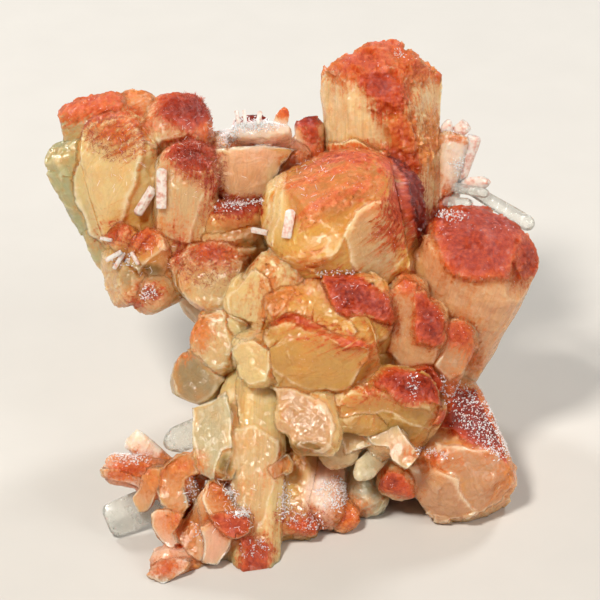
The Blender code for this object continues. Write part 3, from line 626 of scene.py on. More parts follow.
# Where a body is of another colour, and where shade is painted into hollows and recesses
TINT_PATCHES = (
    Patch("central dome's upper half", 9, 29, 17, 12, "amber"),
    Patch("its left face", -5.6, 24, 3.4, 12, "cream", 8),
    Patch("its middle", 2, 15, 9.5, 6.2, "honey"),
    Patch("its lower face", 19, 14.5, 7.4, 10, "beige", -20),
    Patch("behind the knobs", 24.6, 10.5, 2.6, 6, "honey"),
    Patch("tall column's warm side", 23, 43, 3.4, 8, "honey"),
    Patch("cream sheaf's yellow foot", -40, 16, 9, 12, "honey"),
    # Painted shade: the four olive patches paint a dark colour into hollows and recesses
    Patch("hollow by the lens", -12.7, 14.6, 3.4, 1.9, "olive"),
    Patch("body under the lens", -14, 19, 6, 3, "amber"),
    Patch("hollow under the ridge", -35.5, 8.9, 3.4, 1.9, "olive"),
    Patch("recess under the terraces", 1.0, -32.9, 6.7, 2.4, "olive"),
    Patch("hollow between the columns", -17.5, -37.4, 2.2, 4.1, "olive"),
    Patch("body under the wavy sheaf", 15.6, -4.6, 7, 3, "honey"),
    Patch("ochre flank", 20, -24, 12, 5, "ochre", -16),
    Patch("terraced lobe's left", -8.4, -24.6, 4.4, 6, "cream"),
    Patch("lower left block", -37, 6, 9, 5, "khaki", -20),
    Patch("grey block", -27, -17, 6, 6, "khaki"),
    Patch("plate", -11, 42, 10, 5.4, "blush"),
    Patch("body behind the lens", -14, 31, 8, 6, "peach"),
    Patch("sugared sheaf's end", -45, -38.6, 4, 3, "blush"),
    Patch("pale lump at the foot", 5, -44, 5, 6, "blush"),
)


def linear(hex_colour):
    """An sRGB hex colour as the linear red, green and blue that Blender keeps."""
    shares = [int(hex_colour[place:place + 2], 16) / 255 for place in (1, 3, 5)]
    return tuple(share / 12.92 if share <= 0.04045 else ((share + 0.055) / 1.055) ** 2.4 for share in shares)


def colour_choice(name, hex_colour, description):
    """A colour to choose in the panel."""
    return bpy.props.FloatVectorProperty(
        name=name, description=description, default=linear(hex_colour), subtype="COLOR")


class StilbiteLooks(bpy.types.PropertyGroup):
    straw: colour_choice("Straw", "#EBCB98", "Body of the tall column")
    cream: colour_choice("Cream", "#DFC188", "Palest yellow bodies")
    honey: colour_choice("Honey", "#D9A450", "Deep yellow bodies")
    greenish: colour_choice("Greenish", "#ADA87A", "Grey-green slabs")
    peach: colour_choice("Peach", "#DEAA7C", "Warm pink bodies")
    beige: colour_choice("Beige", "#D2AE80", "Dull bodies")
    ochre: colour_choice("Ochre", "#C99850", "Browner yellow bodies")
    orange: colour_choice("Orange", "#E6A06C", "Orange plates")
    amber: colour_choice("Amber", "#B4682A", "Iron-washed bodies")
    rose: colour_choice("Rose", "#BE8C66", "Dusky bodies at the right")
    grey: colour_choice("Grey", "#BDB394", "Grey-white bodies")
    pink: colour_choice("Pink", "#E9B69C", "Pink-beige bodies")
    blush: colour_choice("Blush", "#F6DCCC", "Nearly white, pinkish bodies")
    khaki: colour_choice("Khaki", "#A48A62", "Dullest bodies")
    # Painted shade: a dark colour painted into hollows and recesses, where shade falls
    olive: colour_choice("Olive", "#7E5E1C", "Dark hollows")
    face_size: bpy.props.FloatProperty(
        name="Face size", description="Size of a face of a crystal's skin, in mm", default=0.45, min=0.2,
        max=2)
    ribs: bpy.props.FloatProperty(
        name="Ribs", description="How far the ribs along a crystal stand out, in mm", default=0.4, min=0,
        max=2)
    sugar: bpy.props.FloatProperty(
        name="Sugar", description="Grains of druse on a square millimetre", default=5.2, min=0, max=10)
    needles: bpy.props.FloatProperty(
        name="Needles", description="Needles on a square millimetre", default=5.0, min=0, max=10)
    scratches: bpy.props.FloatProperty(
        name="White needles", description="White needles on a square millimetre", default=0.2, min=0,
        max=10)
    floor: colour_choice("Floor", "#CCC9C3", "Colour of the floor")
    light: bpy.props.FloatProperty(
        name="Light", description="Power of the key light", default=11.5, min=0, max=100, unit="POWER")


def add(tree, kind, inputs=(), **settings):
    """A node with its settings. Its inputs are values, or nodes and outputs that are linked to it. They
    are given by name or in the node's own order, which for a map range is its value, the two ends that
    it goes from and the two that it goes to."""
    node = tree.nodes.new(kind)
    for name, value in settings.items():
        setattr(node, name, value)
    pairs = inputs.items() if isinstance(inputs, dict) else enumerate(inputs)
    for key, value in pairs:
        if isinstance(value, bpy.types.Node):
            value = next(output for output in value.outputs if output.enabled)
        if isinstance(value, bpy.types.NodeSocket):
            tree.links.new(value, node.inputs[key])
        else:
            node.inputs[key].default_value = value
    return node


# Placing

SEEN_TO_PART = (
    Matrix.Scale(MM, 4)
    @ Matrix.Translation((-BOX_MIDDLE[0], -BOX_MIDDLE[1], STAND_HEIGHT))
    @ Matrix.Rotation(math.pi / 2 - VIEW_ELEVATION, 4, "X")
)


def crystal_axes(crystal):
    """The crystal's own directions, as seen: across its width, through its thickness and along it."""
    along = (Vector(crystal.tip) - Vector(crystal.root)).normalized()
    through = Vector(crystal.facing)
    through = (through - along * through.dot(along)).normalized()
    return through.cross(along), through, along


def in_crystal(crystal, places):
    """These places by the crystal's own directions, in millimetres from its root."""
    return (places - np.array(crystal.root)) @ np.array(crystal_axes(crystal)).T


def lengths(crystal):
    """The crystal's whole length and the height of its rounded end."""
    length = (Vector(crystal.tip) - Vector(crystal.root)).length
    return length, min(crystal.crown * crystal.width, LONGEST_CROWN * length)


def taper_at(crystal, risen):
    """The share of its width that the crystal has where its body has risen so far, from 0 to 1."""
    return crystal.taper + (1 - crystal.taper) * risen + BELLY * 4 * risen * (1 - risen)


def half_sizes(crystal, heights):
    """Half the width and half the thickness of the crystal at these heights over its root."""
    length, crown = lengths(crystal)
    share = taper_at(crystal, np.clip(heights / (length - crown), 0, 1))
    over, wide, thick = zip((0, 1, 1), *CROWNS[crystal.form])
    in_crown = (heights - length + crown) / crown
    half_width = crystal.width / 2 * share * np.interp(in_crown, over, wide)
    half_thickness = crystal.thickness / 2 * share * np.interp(in_crown, over, thick)
    return half_width, half_thickness


def depth_inside(crystal, places):
    """How deep these places lie inside the crystal, in millimetres: less than nothing outside it."""
    local = in_crystal(crystal, places)
    half_width, half_thickness = half_sizes(crystal, local[:, 2])
    share = np.abs(local[:, 0] / half_width) ** ROUNDNESS + np.abs(local[:, 1] / half_thickness) ** ROUNDNESS
    aside = (1 - share ** (1 / ROUNDNESS)) * np.minimum(half_width, half_thickness)
    return np.minimum(aside, np.minimum(local[:, 2], lengths(crystal)[0] - local[:, 2]))


# Meshes

FIELDS = {"FLOAT": (1, "value"), "FLOAT_VECTOR": (3, "vector"), "FLOAT_COLOR": (4, "color")}


def numbers(items, field, width=1, kind=float):
    """A field of these parts of a mesh, as a row of so many numbers for each."""
    found = np.empty(len(items) * width, kind)
    items.foreach_get(field, found)
    return found if width == 1 else found.reshape(-1, width)


def places_of(mesh):
    return numbers(mesh.vertices, "co", 3)


def normals_of(mesh):
    return numbers(mesh.vertices, "normal", 3)


def read(mesh, name):
    """The numbers of a point attribute."""
    attribute = mesh.attributes[name]
    width, field = FIELDS[attribute.data_type]
    return numbers(attribute.data, field, width)


def store(mesh, name, values):
    """Keeps a number, a direction or a colour for each point."""
    width = values.shape[1] if values.ndim == 2 else 1
    kind, field = next((kind, field) for kind, (number, field) in FIELDS.items() if number == width)
    attribute = mesh.attributes.get(name) or mesh.attributes.new(name, kind, "POINT")
    attribute.data.foreach_set(field, values.ravel())


def move_points(mesh, places):
    mesh.vertices.foreach_set("co", places.ravel())
    mesh.update()


CLEAR_OF_CUT = 2.5  # mm over the flat cut from where druse and needles grow


def seen_to_height(places):
    """How high these places, as seen, are over the flat cut, in millimetres."""
    return (places @ np.array(SEEN_TO_PART)[2, :3] + SEEN_TO_PART[2][3]) / MM


def seen_places(mesh):
    """Where the points of a placed mesh are, in millimetres as the viewer sees them."""
    back = np.array(SEEN_TO_PART.inverted())
    return places_of(mesh) @ back[:3, :3].T + back[:3, 3]


def link(name, mesh):
    """A new object with this mesh, in the scene."""
    shown = bpy.data.objects.new(name, mesh)
    bpy.context.scene.collection.objects.link(shown)
    return shown


def make_active(shown):
    bpy.ops.object.select_all(action="DESELECT")
    shown.select_set(True)
    bpy.context.view_layer.objects.active = shown


def pick(kind, test):
    """In edit mode, selects the vertices, edges or faces that pass the test, and nothing else."""
    bpy.ops.mesh.select_all(action="DESELECT")
    bpy.context.tool_settings.mesh_select_mode = tuple(kind == each for each in ("verts", "edges", "faces"))
    mesh = bmesh.from_edit_mesh(bpy.context.object.data)
    for piece in getattr(mesh, kind):
        if test(piece):
            piece.select_set(True)
    bmesh.update_edit_mesh(bpy.context.object.data)


def upright(edge):
    return abs(edge.verts[0].co.z - edge.verts[1].co.z) > 0.5


def on_top(face):
    return face.normal.z > 0.9


CORNER_BEVEL = 0.23  # how far a crystal's four long edges are cut off, as a share of its width
ROUNDED_FORMS = ("dome", "lump")  # these are rounded all over, and the others have a narrow bevel
NARROW_BEVEL = 0.05


def form_master(form):
    """A crystal of this form, 1 wide and 1 thick: its body stands from 0 to 1, its end from 1 to 2."""
    bpy.ops.object.select_all(action="DESELECT")
    bpy.ops.mesh.primitive_cube_add(size=1, location=(0, 0, 0.5))
    master = bpy.context.active_object
    bpy.ops.object.transform_apply(location=True, rotation=False, scale=False)
    bpy.ops.object.mode_set(mode="EDIT")
    pick("edges", upright)
    bpy.ops.mesh.bevel(offset=CORNER_BEVEL, segments=1)
    for height in (0.25, 0.5, 0.75):
        bpy.ops.mesh.select_all(action="SELECT")
        bpy.ops.mesh.bisect(plane_co=(0, 0, height), plane_no=(0, 0, 1))
    pick("faces", on_top)
    last = (0, 1, 1)
    for over, wide, thick in CROWNS[form]:
        bpy.ops.mesh.extrude_region_move(TRANSFORM_OT_translate={"value": (0, 0, over - last[0])})
        bpy.ops.transform.resize(value=(wide / last[1], thick / last[2], 1), center_override=(0, 0, 1 + over))
        last = (over, wide, thick)
    bpy.ops.object.mode_set(mode="OBJECT")
    if form in ROUNDED_FORMS:
        rounding = master.modifiers.new("rounding", "SUBSURF")
        rounding.levels = rounding.render_levels = 2
    else:
        rounding = master.modifiers.new("rounding", "BEVEL")
        rounding.width = NARROW_BEVEL
        rounding.segments = 2
    bpy.ops.object.modifier_apply(modifier=rounding.name)
    mesh = master.data
    bpy.data.objects.remove(master)
    return mesh


def fit_to(crystal, mesh):
    """Stretches a form's mesh to the crystal's sizes, in millimetres over its root."""
    places = places_of(mesh)
    length, crown = lengths(crystal)
    risen = np.clip(places[:, 2], 0, 1)
    share = taper_at(crystal, risen)
    places[:, 0] *= crystal.width * share
    places[:, 1] *= crystal.thickness * share
    places[:, 2] = risen * (length - crown) + np.clip(places[:, 2] - 1, 0, 1) * crown
    move_points(mesh, places)


def new_group(name, labels):
    """An empty group of nodes that takes a mesh and these numbers and gives a mesh, with its inputs."""
    tree = bpy.data.node_groups.new(name, "GeometryNodeTree")
    tree.interface.new_socket("Geometry", in_out="INPUT", socket_type="NodeSocketGeometry")
    for label in labels:
        tree.interface.new_socket(label, in_out="INPUT", socket_type="NodeSocketFloat")
    tree.interface.new_socket("Geometry", in_out="OUTPUT", socket_type="NodeSocketGeometry")
    return tree, add(tree, "NodeGroupInput").outputs


def tilted_facets(tree, grain, scale):
    """Facets, so many to a millimetre, each with its own tilt: how high they are at each place."""
    cells = add(tree, "ShaderNodeTexVoronoi", {"Vector": grain, "Scale": scale})
    from_middle = add(tree, "ShaderNodeVectorMath", (grain, cells.outputs["Position"]), operation="SUBTRACT")
    lean = add(tree, "ShaderNodeVectorMath", (cells.outputs["Color"], (0.5, 0.5, 0.5)), operation="SUBTRACT")
    return add(tree, "ShaderNodeVectorMath", (from_middle, lean), operation="DOT_PRODUCT").outputs["Value"]


def grown_skin_nodes():
    """Gives plain crystals their skin: fine ribs and steps down their sides, facets and small lumps on
    their ends, and a thin rough crust where they are stained. Sizes are in millimetres."""
    tree, given = new_group("grown skin", ("Ribs",))
    down, crown, lumpy, stain, slim, ribbed = (
        add(tree, "GeometryNodeInputNamedAttribute", {"Name": name}, data_type="FLOAT").outputs[0]
        for name in ("down", "crown", "lumpy", "stain", "slim", "ribbed")
    )
    grain = add(tree, "GeometryNodeInputNamedAttribute", {"Name": "grain"},
                data_type="FLOAT_VECTOR").outputs[0]
    drawn_out = add(tree, "ShaderNodeVectorMath", (grain, (1.0, 1.0, 0.07)), operation="MULTIPLY")

    # Sides: flat blades of about 5 mm that end in steps, and ribs of about 1 mm on them
    blades = add(tree, "ShaderNodeTexNoise", {"Vector": drawn_out, "Scale": 0.2, "Detail": 1.0})
    steps = add(tree, "ShaderNodeMath", (blades, 0.08), operation="SNAP")
    blade_rise = add(tree, "ShaderNodeMath", (steps, 0.46), operation="SUBTRACT")
    ribs = add(tree, "ShaderNodeTexNoise", {"Vector": drawn_out, "Scale": 0.9, "Detail": 2.0})
    rib_rise = add(tree, "ShaderNodeMath", (ribs, 0.5), operation="SUBTRACT")
    side = add(tree, "ShaderNodeMath", (blade_rise, 3.0, rib_rise), operation="MULTIPLY_ADD")
    for factor in (given["Ribs"], ribbed):
        side = add(tree, "ShaderNodeMath", (side, factor), operation="MULTIPLY")

    # Ends: facets of about 5 mm, each with its own tilt, and scales of about 1.7 mm on them
    end = 0.0
    for size, height in ((5.0, 0.45), (1.7, 0.55)):
        tilt = tilted_facets(tree, grain, 1 / size)
        end = add(tree, "ShaderNodeMath", (tilt, height, end), operation="MULTIPLY_ADD")
    facets = add(tree, "ShaderNodeMapRange", (ribbed, 0.0, 1.0, 0.4, 0.12))
    side = add(tree, "ShaderNodeMath", (end, facets, side), operation="MULTIPLY_ADD")
    end_size = add(tree, "ShaderNodeMath", (lumpy, 0.3), operation="ADD")
    end = add(tree, "ShaderNodeMath", (end, end_size), operation="MULTIPLY")

    # Stain is a thin crust with an uneven edge
    uneven = add(tree, "ShaderNodeTexNoise", {"Vector": grain, "Scale": 0.25, "Detail": 3.0})
    edge = add(tree, "ShaderNodeMapRange", (uneven, 0.0, 1.0, -2.5, 2.5))
    in_stain = add(tree, "ShaderNodeMath", (stain, edge), operation="ADD")
    crust = add(tree, "ShaderNodeMapRange", (in_stain, -0.3, 0.8), interpolation_type="SMOOTHSTEP")
    grit = add(tree, "ShaderNodeTexNoise", {"Vector": grain, "Scale": 0.9, "Detail": 3.0, "Roughness": 0.6})
    grit_rise = add(tree, "ShaderNodeMath", (grit, 0.45), operation="SUBTRACT")
    crust_rise = add(tree, "ShaderNodeMath", (crust, lumpy), operation="MULTIPLY")
    crust_rise = add(tree, "ShaderNodeMath", (crust_rise, grit_rise), operation="MULTIPLY")

    near_end = add(tree, "ShaderNodeMath", (down, crown), operation="DIVIDE")
    on_end = add(tree, "ShaderNodeMapRange", (near_end, 1.4, 0.6), interpolation_type="SMOOTHSTEP")
    rough_part = add(tree, "ShaderNodeMath", (crust, 0.6, on_end), operation="MULTIPLY_ADD", use_clamp=True)
    skin = add(tree, "ShaderNodeMix", {"Factor": rough_part, "A": side, "B": end})
    skin = add(tree, "ShaderNodeMath", (crust_rise, 2.2, skin), operation="MULTIPLY_ADD")
    waves = add(tree, "ShaderNodeTexNoise", {"Vector": grain, "Scale": 0.08, "Detail": 1.0})
    wave_rise = add(tree, "ShaderNodeMath", (waves, 0.5), operation="SUBTRACT")
    skin = add(tree, "ShaderNodeMath", (wave_rise, 1.8, skin), operation="MULTIPLY_ADD")
    skin = add(tree, "ShaderNodeMath", (skin, slim), operation="MULTIPLY")

    normal = add(tree, "GeometryNodeInputNormal")
    outward = add(tree, "ShaderNodeVectorMath", {0: normal, "Scale": skin}, operation="SCALE")
    moved = add(tree, "GeometryNodeSetPosition", {"Geometry": given["Geometry"], "Offset": outward})
    add(tree, "NodeGroupOutput", (moved,))
    return tree


def apply_nodes(shown, tree, values):
    """Runs a node group on a piece with these input values, and keeps the result."""
    make_active(shown)
    modifier = shown.modifiers.new(tree.name, "NODES")
    modifier.node_group = tree
    for item in tree.interface.items_tree:
        if item.item_type == "SOCKET" and item.in_out == "INPUT" and item.name in values:
            modifier[item.identifier] = values[item.name]
    bpy.ops.object.modifier_apply(modifier=modifier.name)


def cut_flat(shown, height):
    """Takes away what reaches below this height, in metres, and closes the cut."""
    if places_of(shown.data)[:, 2].min() >= height:
        return
    make_active(shown)
    bpy.ops.object.mode_set(mode="EDIT")
    bpy.ops.mesh.select_all(action="SELECT")
    bpy.ops.mesh.bisect(plane_co=(0, 0, height), plane_no=(0, 0, -1), clear_outer=True, use_fill=True,
                        threshold=1e-6)
    bpy.ops.object.mode_set(mode="OBJECT")


SHARP_SHEAF = 45  # degrees between two faces from where the edge between them shows
SHARP_BLADE = 25


def shade(shown, sharp):
    """Shades a piece smooth up to this angle in degrees, and its flat cut flat."""
    make_active(shown)
    bpy.ops.object.shade_smooth_by_angle(angle=math.radians(sharp))
    facing_up = numbers(shown.data.polygons, "normal", 3)[:, 2]
    shown.data.polygons.foreach_set("use_smooth", facing_up > -0.9999)


BURIED = 5.0  # faces so many mm inside a crystal of another group are left away


def remove_buried(shown, group):
    """Deletes the faces that lie deep inside the crystals of other groups."""
    mesh = shown.data
    places = seen_places(mesh)
    buried = np.zeros(len(places), bool)
    for other in SHEAVES:
        if other not in group:
            buried |= depth_inside(other, places) > BURIED
    make_active(shown)
    corners = numbers(mesh.loops, "vertex_index", kind=int)
    starts = numbers(mesh.polygons, "loop_start", kind=int)
    for parts in (mesh.vertices, mesh.edges):
        parts.foreach_set("select", np.zeros(len(parts), bool))
    mesh.polygons.foreach_set("select", np.logical_and.reduceat(buried[corners], starts))
    bpy.context.tool_settings.mesh_select_mode = (False, False, True)
    bpy.ops.object.mode_set(mode="EDIT")
    bpy.ops.mesh.delete(type="FACE")
    bpy.ops.object.mode_set(mode="OBJECT")


PATCH_DEPTH = -20.0  # mm: patches fade out on what lies deeper, behind the middle


def reach_of(patch, places):
    """How far inside a patch these places are, in millimetres: less than nothing outside it."""
    turn = math.radians(patch.turn)
    right = places[:, 0] - patch.right
    up = places[:, 1] - patch.up
    aside = (right * math.cos(turn) + up * math.sin(turn)) / patch.half_width
    above = (up * math.cos(turn) - right * math.sin(turn)) / patch.half_height
    behind = np.maximum(PATCH_DEPTH - places[:, 2], 0)
    return (1 - np.hypot(aside, above)) * min(patch.half_width, patch.half_height) - behind


BLEND = 0.7  # mm over which the colours of neighbouring crystals run into each other


def owners(places, crystals):
    """For each place, the crystal on whose skin it lies, and each crystal's share in its colour."""
    depths = np.stack([depth_inside(crystal, places) for crystal in crystals])
    best = depths.argmax(axis=0)
    shares = np.exp(np.clip((depths - depths.max(axis=0)) / BLEND, -30, 0))
    return best, shares / shares.sum(axis=0)


RANDOM_FACETS = 6  # on each crystal


def flatten(crystal, places):
    """Presses flat facets into the end of a crystal whose points these are."""
    chance = random.Random(crystal.name + " facets")
    along = Vector(crystal.tip) - Vector(crystal.root)
    planes = []
    for number in range(RANDOM_FACETS):
        lean = Vector((chance.gauss(0, 1), chance.gauss(0, 1), chance.gauss(0, 1))).normalized()
        lean = (lean - 0.4 * along.normalized() * min(0, lean.dot(along.normalized()))).normalized()
        planes.append((*lean, crystal.width * chance.uniform(0.02, 0.07) * (1 if lean.z > 0 else 1.6)))
    for *direction, depth in (*planes, *FACETS.get(crystal.name, ())):
        direction = np.array(direction) / np.linalg.norm(direction)
        out = places @ direction
        places -= np.maximum(out - out.max() + depth, 0)[:, None] * direction
    return places


def spread(values, ends):
    """The mean of each point's neighbours along the edges, for points that have three numbers each."""
    number = len(values)
    total = np.stack([
        np.bincount(ends[:, 0], values[ends[:, 1], axis], number)
        + np.bincount(ends[:, 1], values[ends[:, 0], axis], number)
        for axis in range(3)
    ], axis=1)
    return total / np.bincount(ends.ravel(), minlength=number)[:, None]


def smoothed(mesh, rounds):
    """Where the points of a mesh go when its skin is rubbed smooth so many times."""
    places = places_of(mesh)
    ends = numbers(mesh.edges, "vertices", 2, int)
    for step in range(rounds):
        places = (places + spread(places, ends)) / 2
    return places


EVEN_ROUNDS = 24  # rubbed so often, a skin is even, and shows what stands out of it and what lies in
DEEP_CREASE = 0.12  # mm that a crease lies in from where it is wholly filled


def fill_creases(mesh):
    """Fills the creases where crystals grew together. What stands out keeps its shape."""
    places = places_of(mesh)
    inward = smoothed(mesh, EVEN_ROUNDS) - places
    hollow = np.clip((inward * normals_of(mesh)).sum(axis=1) / DEEP_CREASE, 0, 1)
    move_points(mesh, places + inward * hollow[:, None])


def far_off(name):
    """A place far away, the same each time for this name, so that no two crystals have the same grain."""
    chance = random.Random(name)
    return [chance.uniform(-500, 500) for axis in range(3)]


def describe(shown, crystals, homes, looks):
    """Keeps, for each point of the plain crystals, where it is in its own crystal, its body colour, how
    far it is inside the stain, how red that is, and how much druse and how many needles grow there.
    Each crystal has a home, which is itself or the sheaf that it is a sprout of. Then it gives the
    crystals their facets."""
    mesh = shown.data
    places = places_of(mesh)
    best, shares = owners(places, crystals)
    grain = np.zeros((len(places), 3))
    down = np.zeros(len(places))
    kept = {"owner": best.astype(float), "before": places.copy()}
    for number, crystal in enumerate(crystals):
        own = best == number
        if not own.any():
            continue
        grain[own] = in_crystal(homes[number], places[own]) + far_off(homes[number].name)
        down[own] = lengths(crystal)[0] - in_crystal(crystal, places[own])[:, 2]
        places[own] = flatten(crystal, places[own])
    for name, of_each in (
        ("crown", [lengths(crystal)[1] for crystal in crystals]),
        ("lumpy", [crystal.lumpy for crystal in crystals]),
        ("ribbed", [crystal.ribbed for crystal in crystals]),
        ("slim", [min(1.0, (crystal.width + 4) / 18) for crystal in crystals]),
        ("deep", [crystal.deep for crystal in crystals]),
        ("stain", [crystal.stain or NO_STAIN for crystal in crystals]),
    ):
        kept[name] = np.array(of_each) @ shares
    tint = np.ones((len(places), 4))
    tint[:, :3] = (np.array([getattr(looks, crystal.tint) for crystal in crystals]).T @ shares).T
    kept.update(grain=grain, down=down, tint=tint)
    spread_stain(kept, places)
    sow_grains(kept, places)
    for name, values in kept.items():
        store(mesh, name, values)
    move_points(mesh, places)


NO_STAIN = -9  # mm: far enough outside a stain


def spread_stain(kept, places):
    """Joins the iron stain of the crystals' ends with the patches, and keeps it off the clean bodies."""
    stain = kept["stain"] - kept["down"]
    deep = kept["deep"]
    for patch in STAIN_PATCHES:
        reach = reach_of(patch, places)
        share = np.clip((reach - stain) / 2 + 0.5, 0, 1)
        deep += (patch.value - deep) * share
        stain = np.maximum(stain, reach)
    for patch in CLEAN_PATCHES:
        stain -= 3 * np.clip(reach_of(patch, places) + 1, 0, 4)
    kept["stain"] = stain


SOWN_EDGE = 1.5  # mm over which druse and needles thin out


def sow_grains(kept, places):
    """Keeps how thick druse, red needles and white needles grow at these places."""
    over_cut = seen_to_height(places) > CLEAR_OF_CUT
    for name, patches in (("sugar", SUGAR_PATCHES), ("needles", NEEDLE_PATCHES),
                          ("scratches", SCRATCH_PATCHES)):
        amount = np.zeros(len(places))
        for patch in patches:
            amount = np.maximum(amount, np.clip(reach_of(patch, places) / SOWN_EDGE, 0, 1) * patch.value)
        kept[name] = amount * over_cut


def reach_into(corners, places):
    """How far inside an outline these places are, in millimetres: less than nothing outside it."""
    spots = places[:, :2] + 0.3 * np.sin(places[:, 1::-1] * 0.8)
    nearest = np.full(len(spots), np.inf)
    inside = np.zeros(len(spots), bool)
    for start, end in zip(corners, (*corners[1:], corners[0])):
        start = np.array(start)
        edge = np.array(end) - start
        along = np.clip((spots - start) @ edge / (edge @ edge), 0, 1)
        nearest = np.minimum(nearest, np.linalg.norm(spots - start - along[:, None] * edge, axis=1))
        crossed = (start[1] > spots[:, 1]) != (end[1] > spots[:, 1])
        where = start[0] + (spots[:, 1] - start[1]) / (edge[1] or 1e-9) * edge[0]
        inside ^= crossed & (spots[:, 0] < where)
    return np.where(inside, nearest, -nearest)


FACE_EDGE = 0.8  # mm over which a face's edge rises
FLATNESS = 0.75  # how near a face comes to a plane
LARGEST_STEP = 2.5  # mm that a point moves at most when its face is made flat
FRONT_LAYER = 9  # mm: what lies deeper behind a face's nearest part isn't asked where its plane is
LIFT = 0.65  # the share of its rise that a face is lifted by, where no plate stands
FACE_TINT = 0.7  # the share of its own colour in a face's
RIM_WIDTH = 0.36  # mm
RIM_RISE = 0.16  # mm that a face's rim stands over it


def plane_of(face, spots, places, core):
    """The plane nearest to the core of a face, leaned as the face says: its depth by right, up and 1."""
    plane = np.linalg.lstsq(spots[core], places[core, 2], rcond=None)[0]
    return plane + (*face.lean, -np.dot(face.lean, np.mean(face.corners, axis=0)))


def carve(shown, faces, homes, looks):
    """Makes the faces that show flat, and lifts them a little, with a plain edge."""
    mesh = shown.data
    places = places_of(mesh)
    towards = normals_of(mesh)[:, 2]
    seen = np.clip((towards - 0.1) / 0.3, 0, 1)
    tint, stain, deep, slim, grain, before, owner = (
        read(mesh, name) for name in ("tint", "stain", "deep", "slim", "grain", "before", "owner")
    )
    growth = np.zeros(len(places))
    rim = np.zeros(len(places))
    for face in faces:
        reach = reach_into(face.corners, places)
        share = np.clip(reach / FACE_EDGE + 0.5, 0, 1)
        share = share ** 2 * (3 - 2 * share) * seen
        core = (reach > 0) & (towards > 0.3)
        core &= places[:, 2] > np.quantile(places[core, 2], 0.8) - FRONT_LAYER
        spots = np.column_stack((places[:, :2], np.ones(len(places))))
        step = spots @ plane_of(face, spots, places, core) - places[:, 2]
        flat = np.clip(step, -LARGEST_STEP, LARGEST_STEP) * FLATNESS
        places[:, 2] += share * (flat + (0 if face.plate else LIFT * face.rise))
        tint[:, :3] += (np.array(getattr(looks, face.tint)) - tint[:, :3]) * (share * FACE_TINT)[:, None]
        growth = np.where(share > 0.1, np.maximum(reach, 0), growth)
        slim *= 1 - (0.7 if face.plate else 0.4) * share
        on_face = (reach > -0.3) & (seen > 0)
        if face.plate:
            grain[on_face] = places[on_face][:, (0, 2, 1)] + far_off(face.where)
        else:
            home = homes[np.bincount(owner[on_face].astype(int)).argmax()]
            grain[on_face] = in_crystal(home, before[on_face]) + far_off(home.name)
        if face.red:
            red = reach * 2 + 1 - 20 * (1 - seen)
            deep += (face.red - deep) * np.clip((red - stain) / 2 + 0.5, 0, 1)
            stain = np.maximum(stain, red)
        # A thin raised rim along the face's edge; the material paints a pale highlight on it
        edge = np.clip(1 - np.abs(reach - 0.1) / RIM_WIDTH, 0, 1) * seen
        rim = np.maximum(rim, edge * (1 if face.plate else 0.55))
    places[:, 2] += RIM_RISE * rim
    for patch in TINT_PATCHES:
        share = np.clip(reach_of(patch, places) / min(patch.half_width, patch.half_height) * 1.6, 0, 0.85)
        tint[:, :3] += (np.array(getattr(looks, patch.value)) - tint[:, :3]) * share[:, None]
    for name, values in (("growth", growth), ("rim", rim), ("slim", slim), ("tint", tint), ("stain", stain),
                         ("deep", deep), ("grain", grain)):
        store(mesh, name, values)
    move_points(mesh, places)


def note_relief(shown):
    """Keeps how far each point stands out of the skin round it, in millimetres."""
    mesh = shown.data
    out = places_of(mesh) - smoothed(mesh, EVEN_ROUNDS)
    # The material paints a honey glow into the hollows and a pale highlight onto the ridges from this relief
    store(mesh, "relief", (out * normals_of(mesh)).sum(axis=1))


SPROUT_SPACING = 4.5  # mm of a sheaf's width for each sprout along it
SMALLEST_PARENT = 8.5  # mm: a crystal narrower than this has no sprouts
ALL_FORMS = ("dome", "block", "chisel", "lump")


def sprouts(crystal):
    """The smaller crystals that a sheaf is bundled from. They stand a little out of its sides and end."""
    if crystal.width < SMALLEST_PARENT or crystal in ROOT_MASS:
        return []
    chance = random.Random(crystal.name + " sprouts")
    across, through, along = crystal_axes(crystal)
    length, crown = lengths(crystal)
    found = []
    for number in range(round(3.5 * crystal.lumpy * crystal.width / SPROUT_SPACING)):
        turn = chance.uniform(0, 2 * math.pi)
        out = math.sqrt(chance.uniform(0.05, 1))
        width = crystal.width * chance.uniform(0.2, 0.36)
        aside = math.cos(turn) * out * (crystal.width / 2 - width * 0.42)
        depth = math.sin(turn) * out * (crystal.thickness / 2 - width * 0.42)
        height = length - crown * (0.05 + 0.75 * out ** 2.5) + chance.uniform(-1.2, 0.7)
        start = Vector(crystal.root) + across * aside * crystal.taper + through * depth * crystal.taper
        end = Vector(crystal.root) + across * aside + through * depth + along * height
        start += (end - start) * chance.uniform(0.15, 0.45)
        found.append(crystal._replace(
            name=f"{crystal.name} {number}", root=tuple(start), tip=tuple(end), width=width,
            thickness=width * chance.uniform(0.7, 1), form=chance.choice(ALL_FORMS), taper=0.85,
            crown=chance.uniform(0.3, 0.55), facing=tuple(through + across * chance.uniform(-0.4, 0.4)),
        ))
    return found


def in_view(place):
    """Whether a crystal lies before or behind this place, for somebody who looks at the cluster."""
    line = np.column_stack((np.tile(place[:2], (36, 1)), np.arange(-50, 22, 2)))
    return any((depth_inside(crystal, line) > 1.5).any() for crystal in SHEAVES)


UNDERGROWTH = 140  # small crystals
BOX_MARGIN = 0.001  # metres that their tips keep from the sides of the cluster's box
LOWEST_TIP = 0.004  # metres over the flat cut


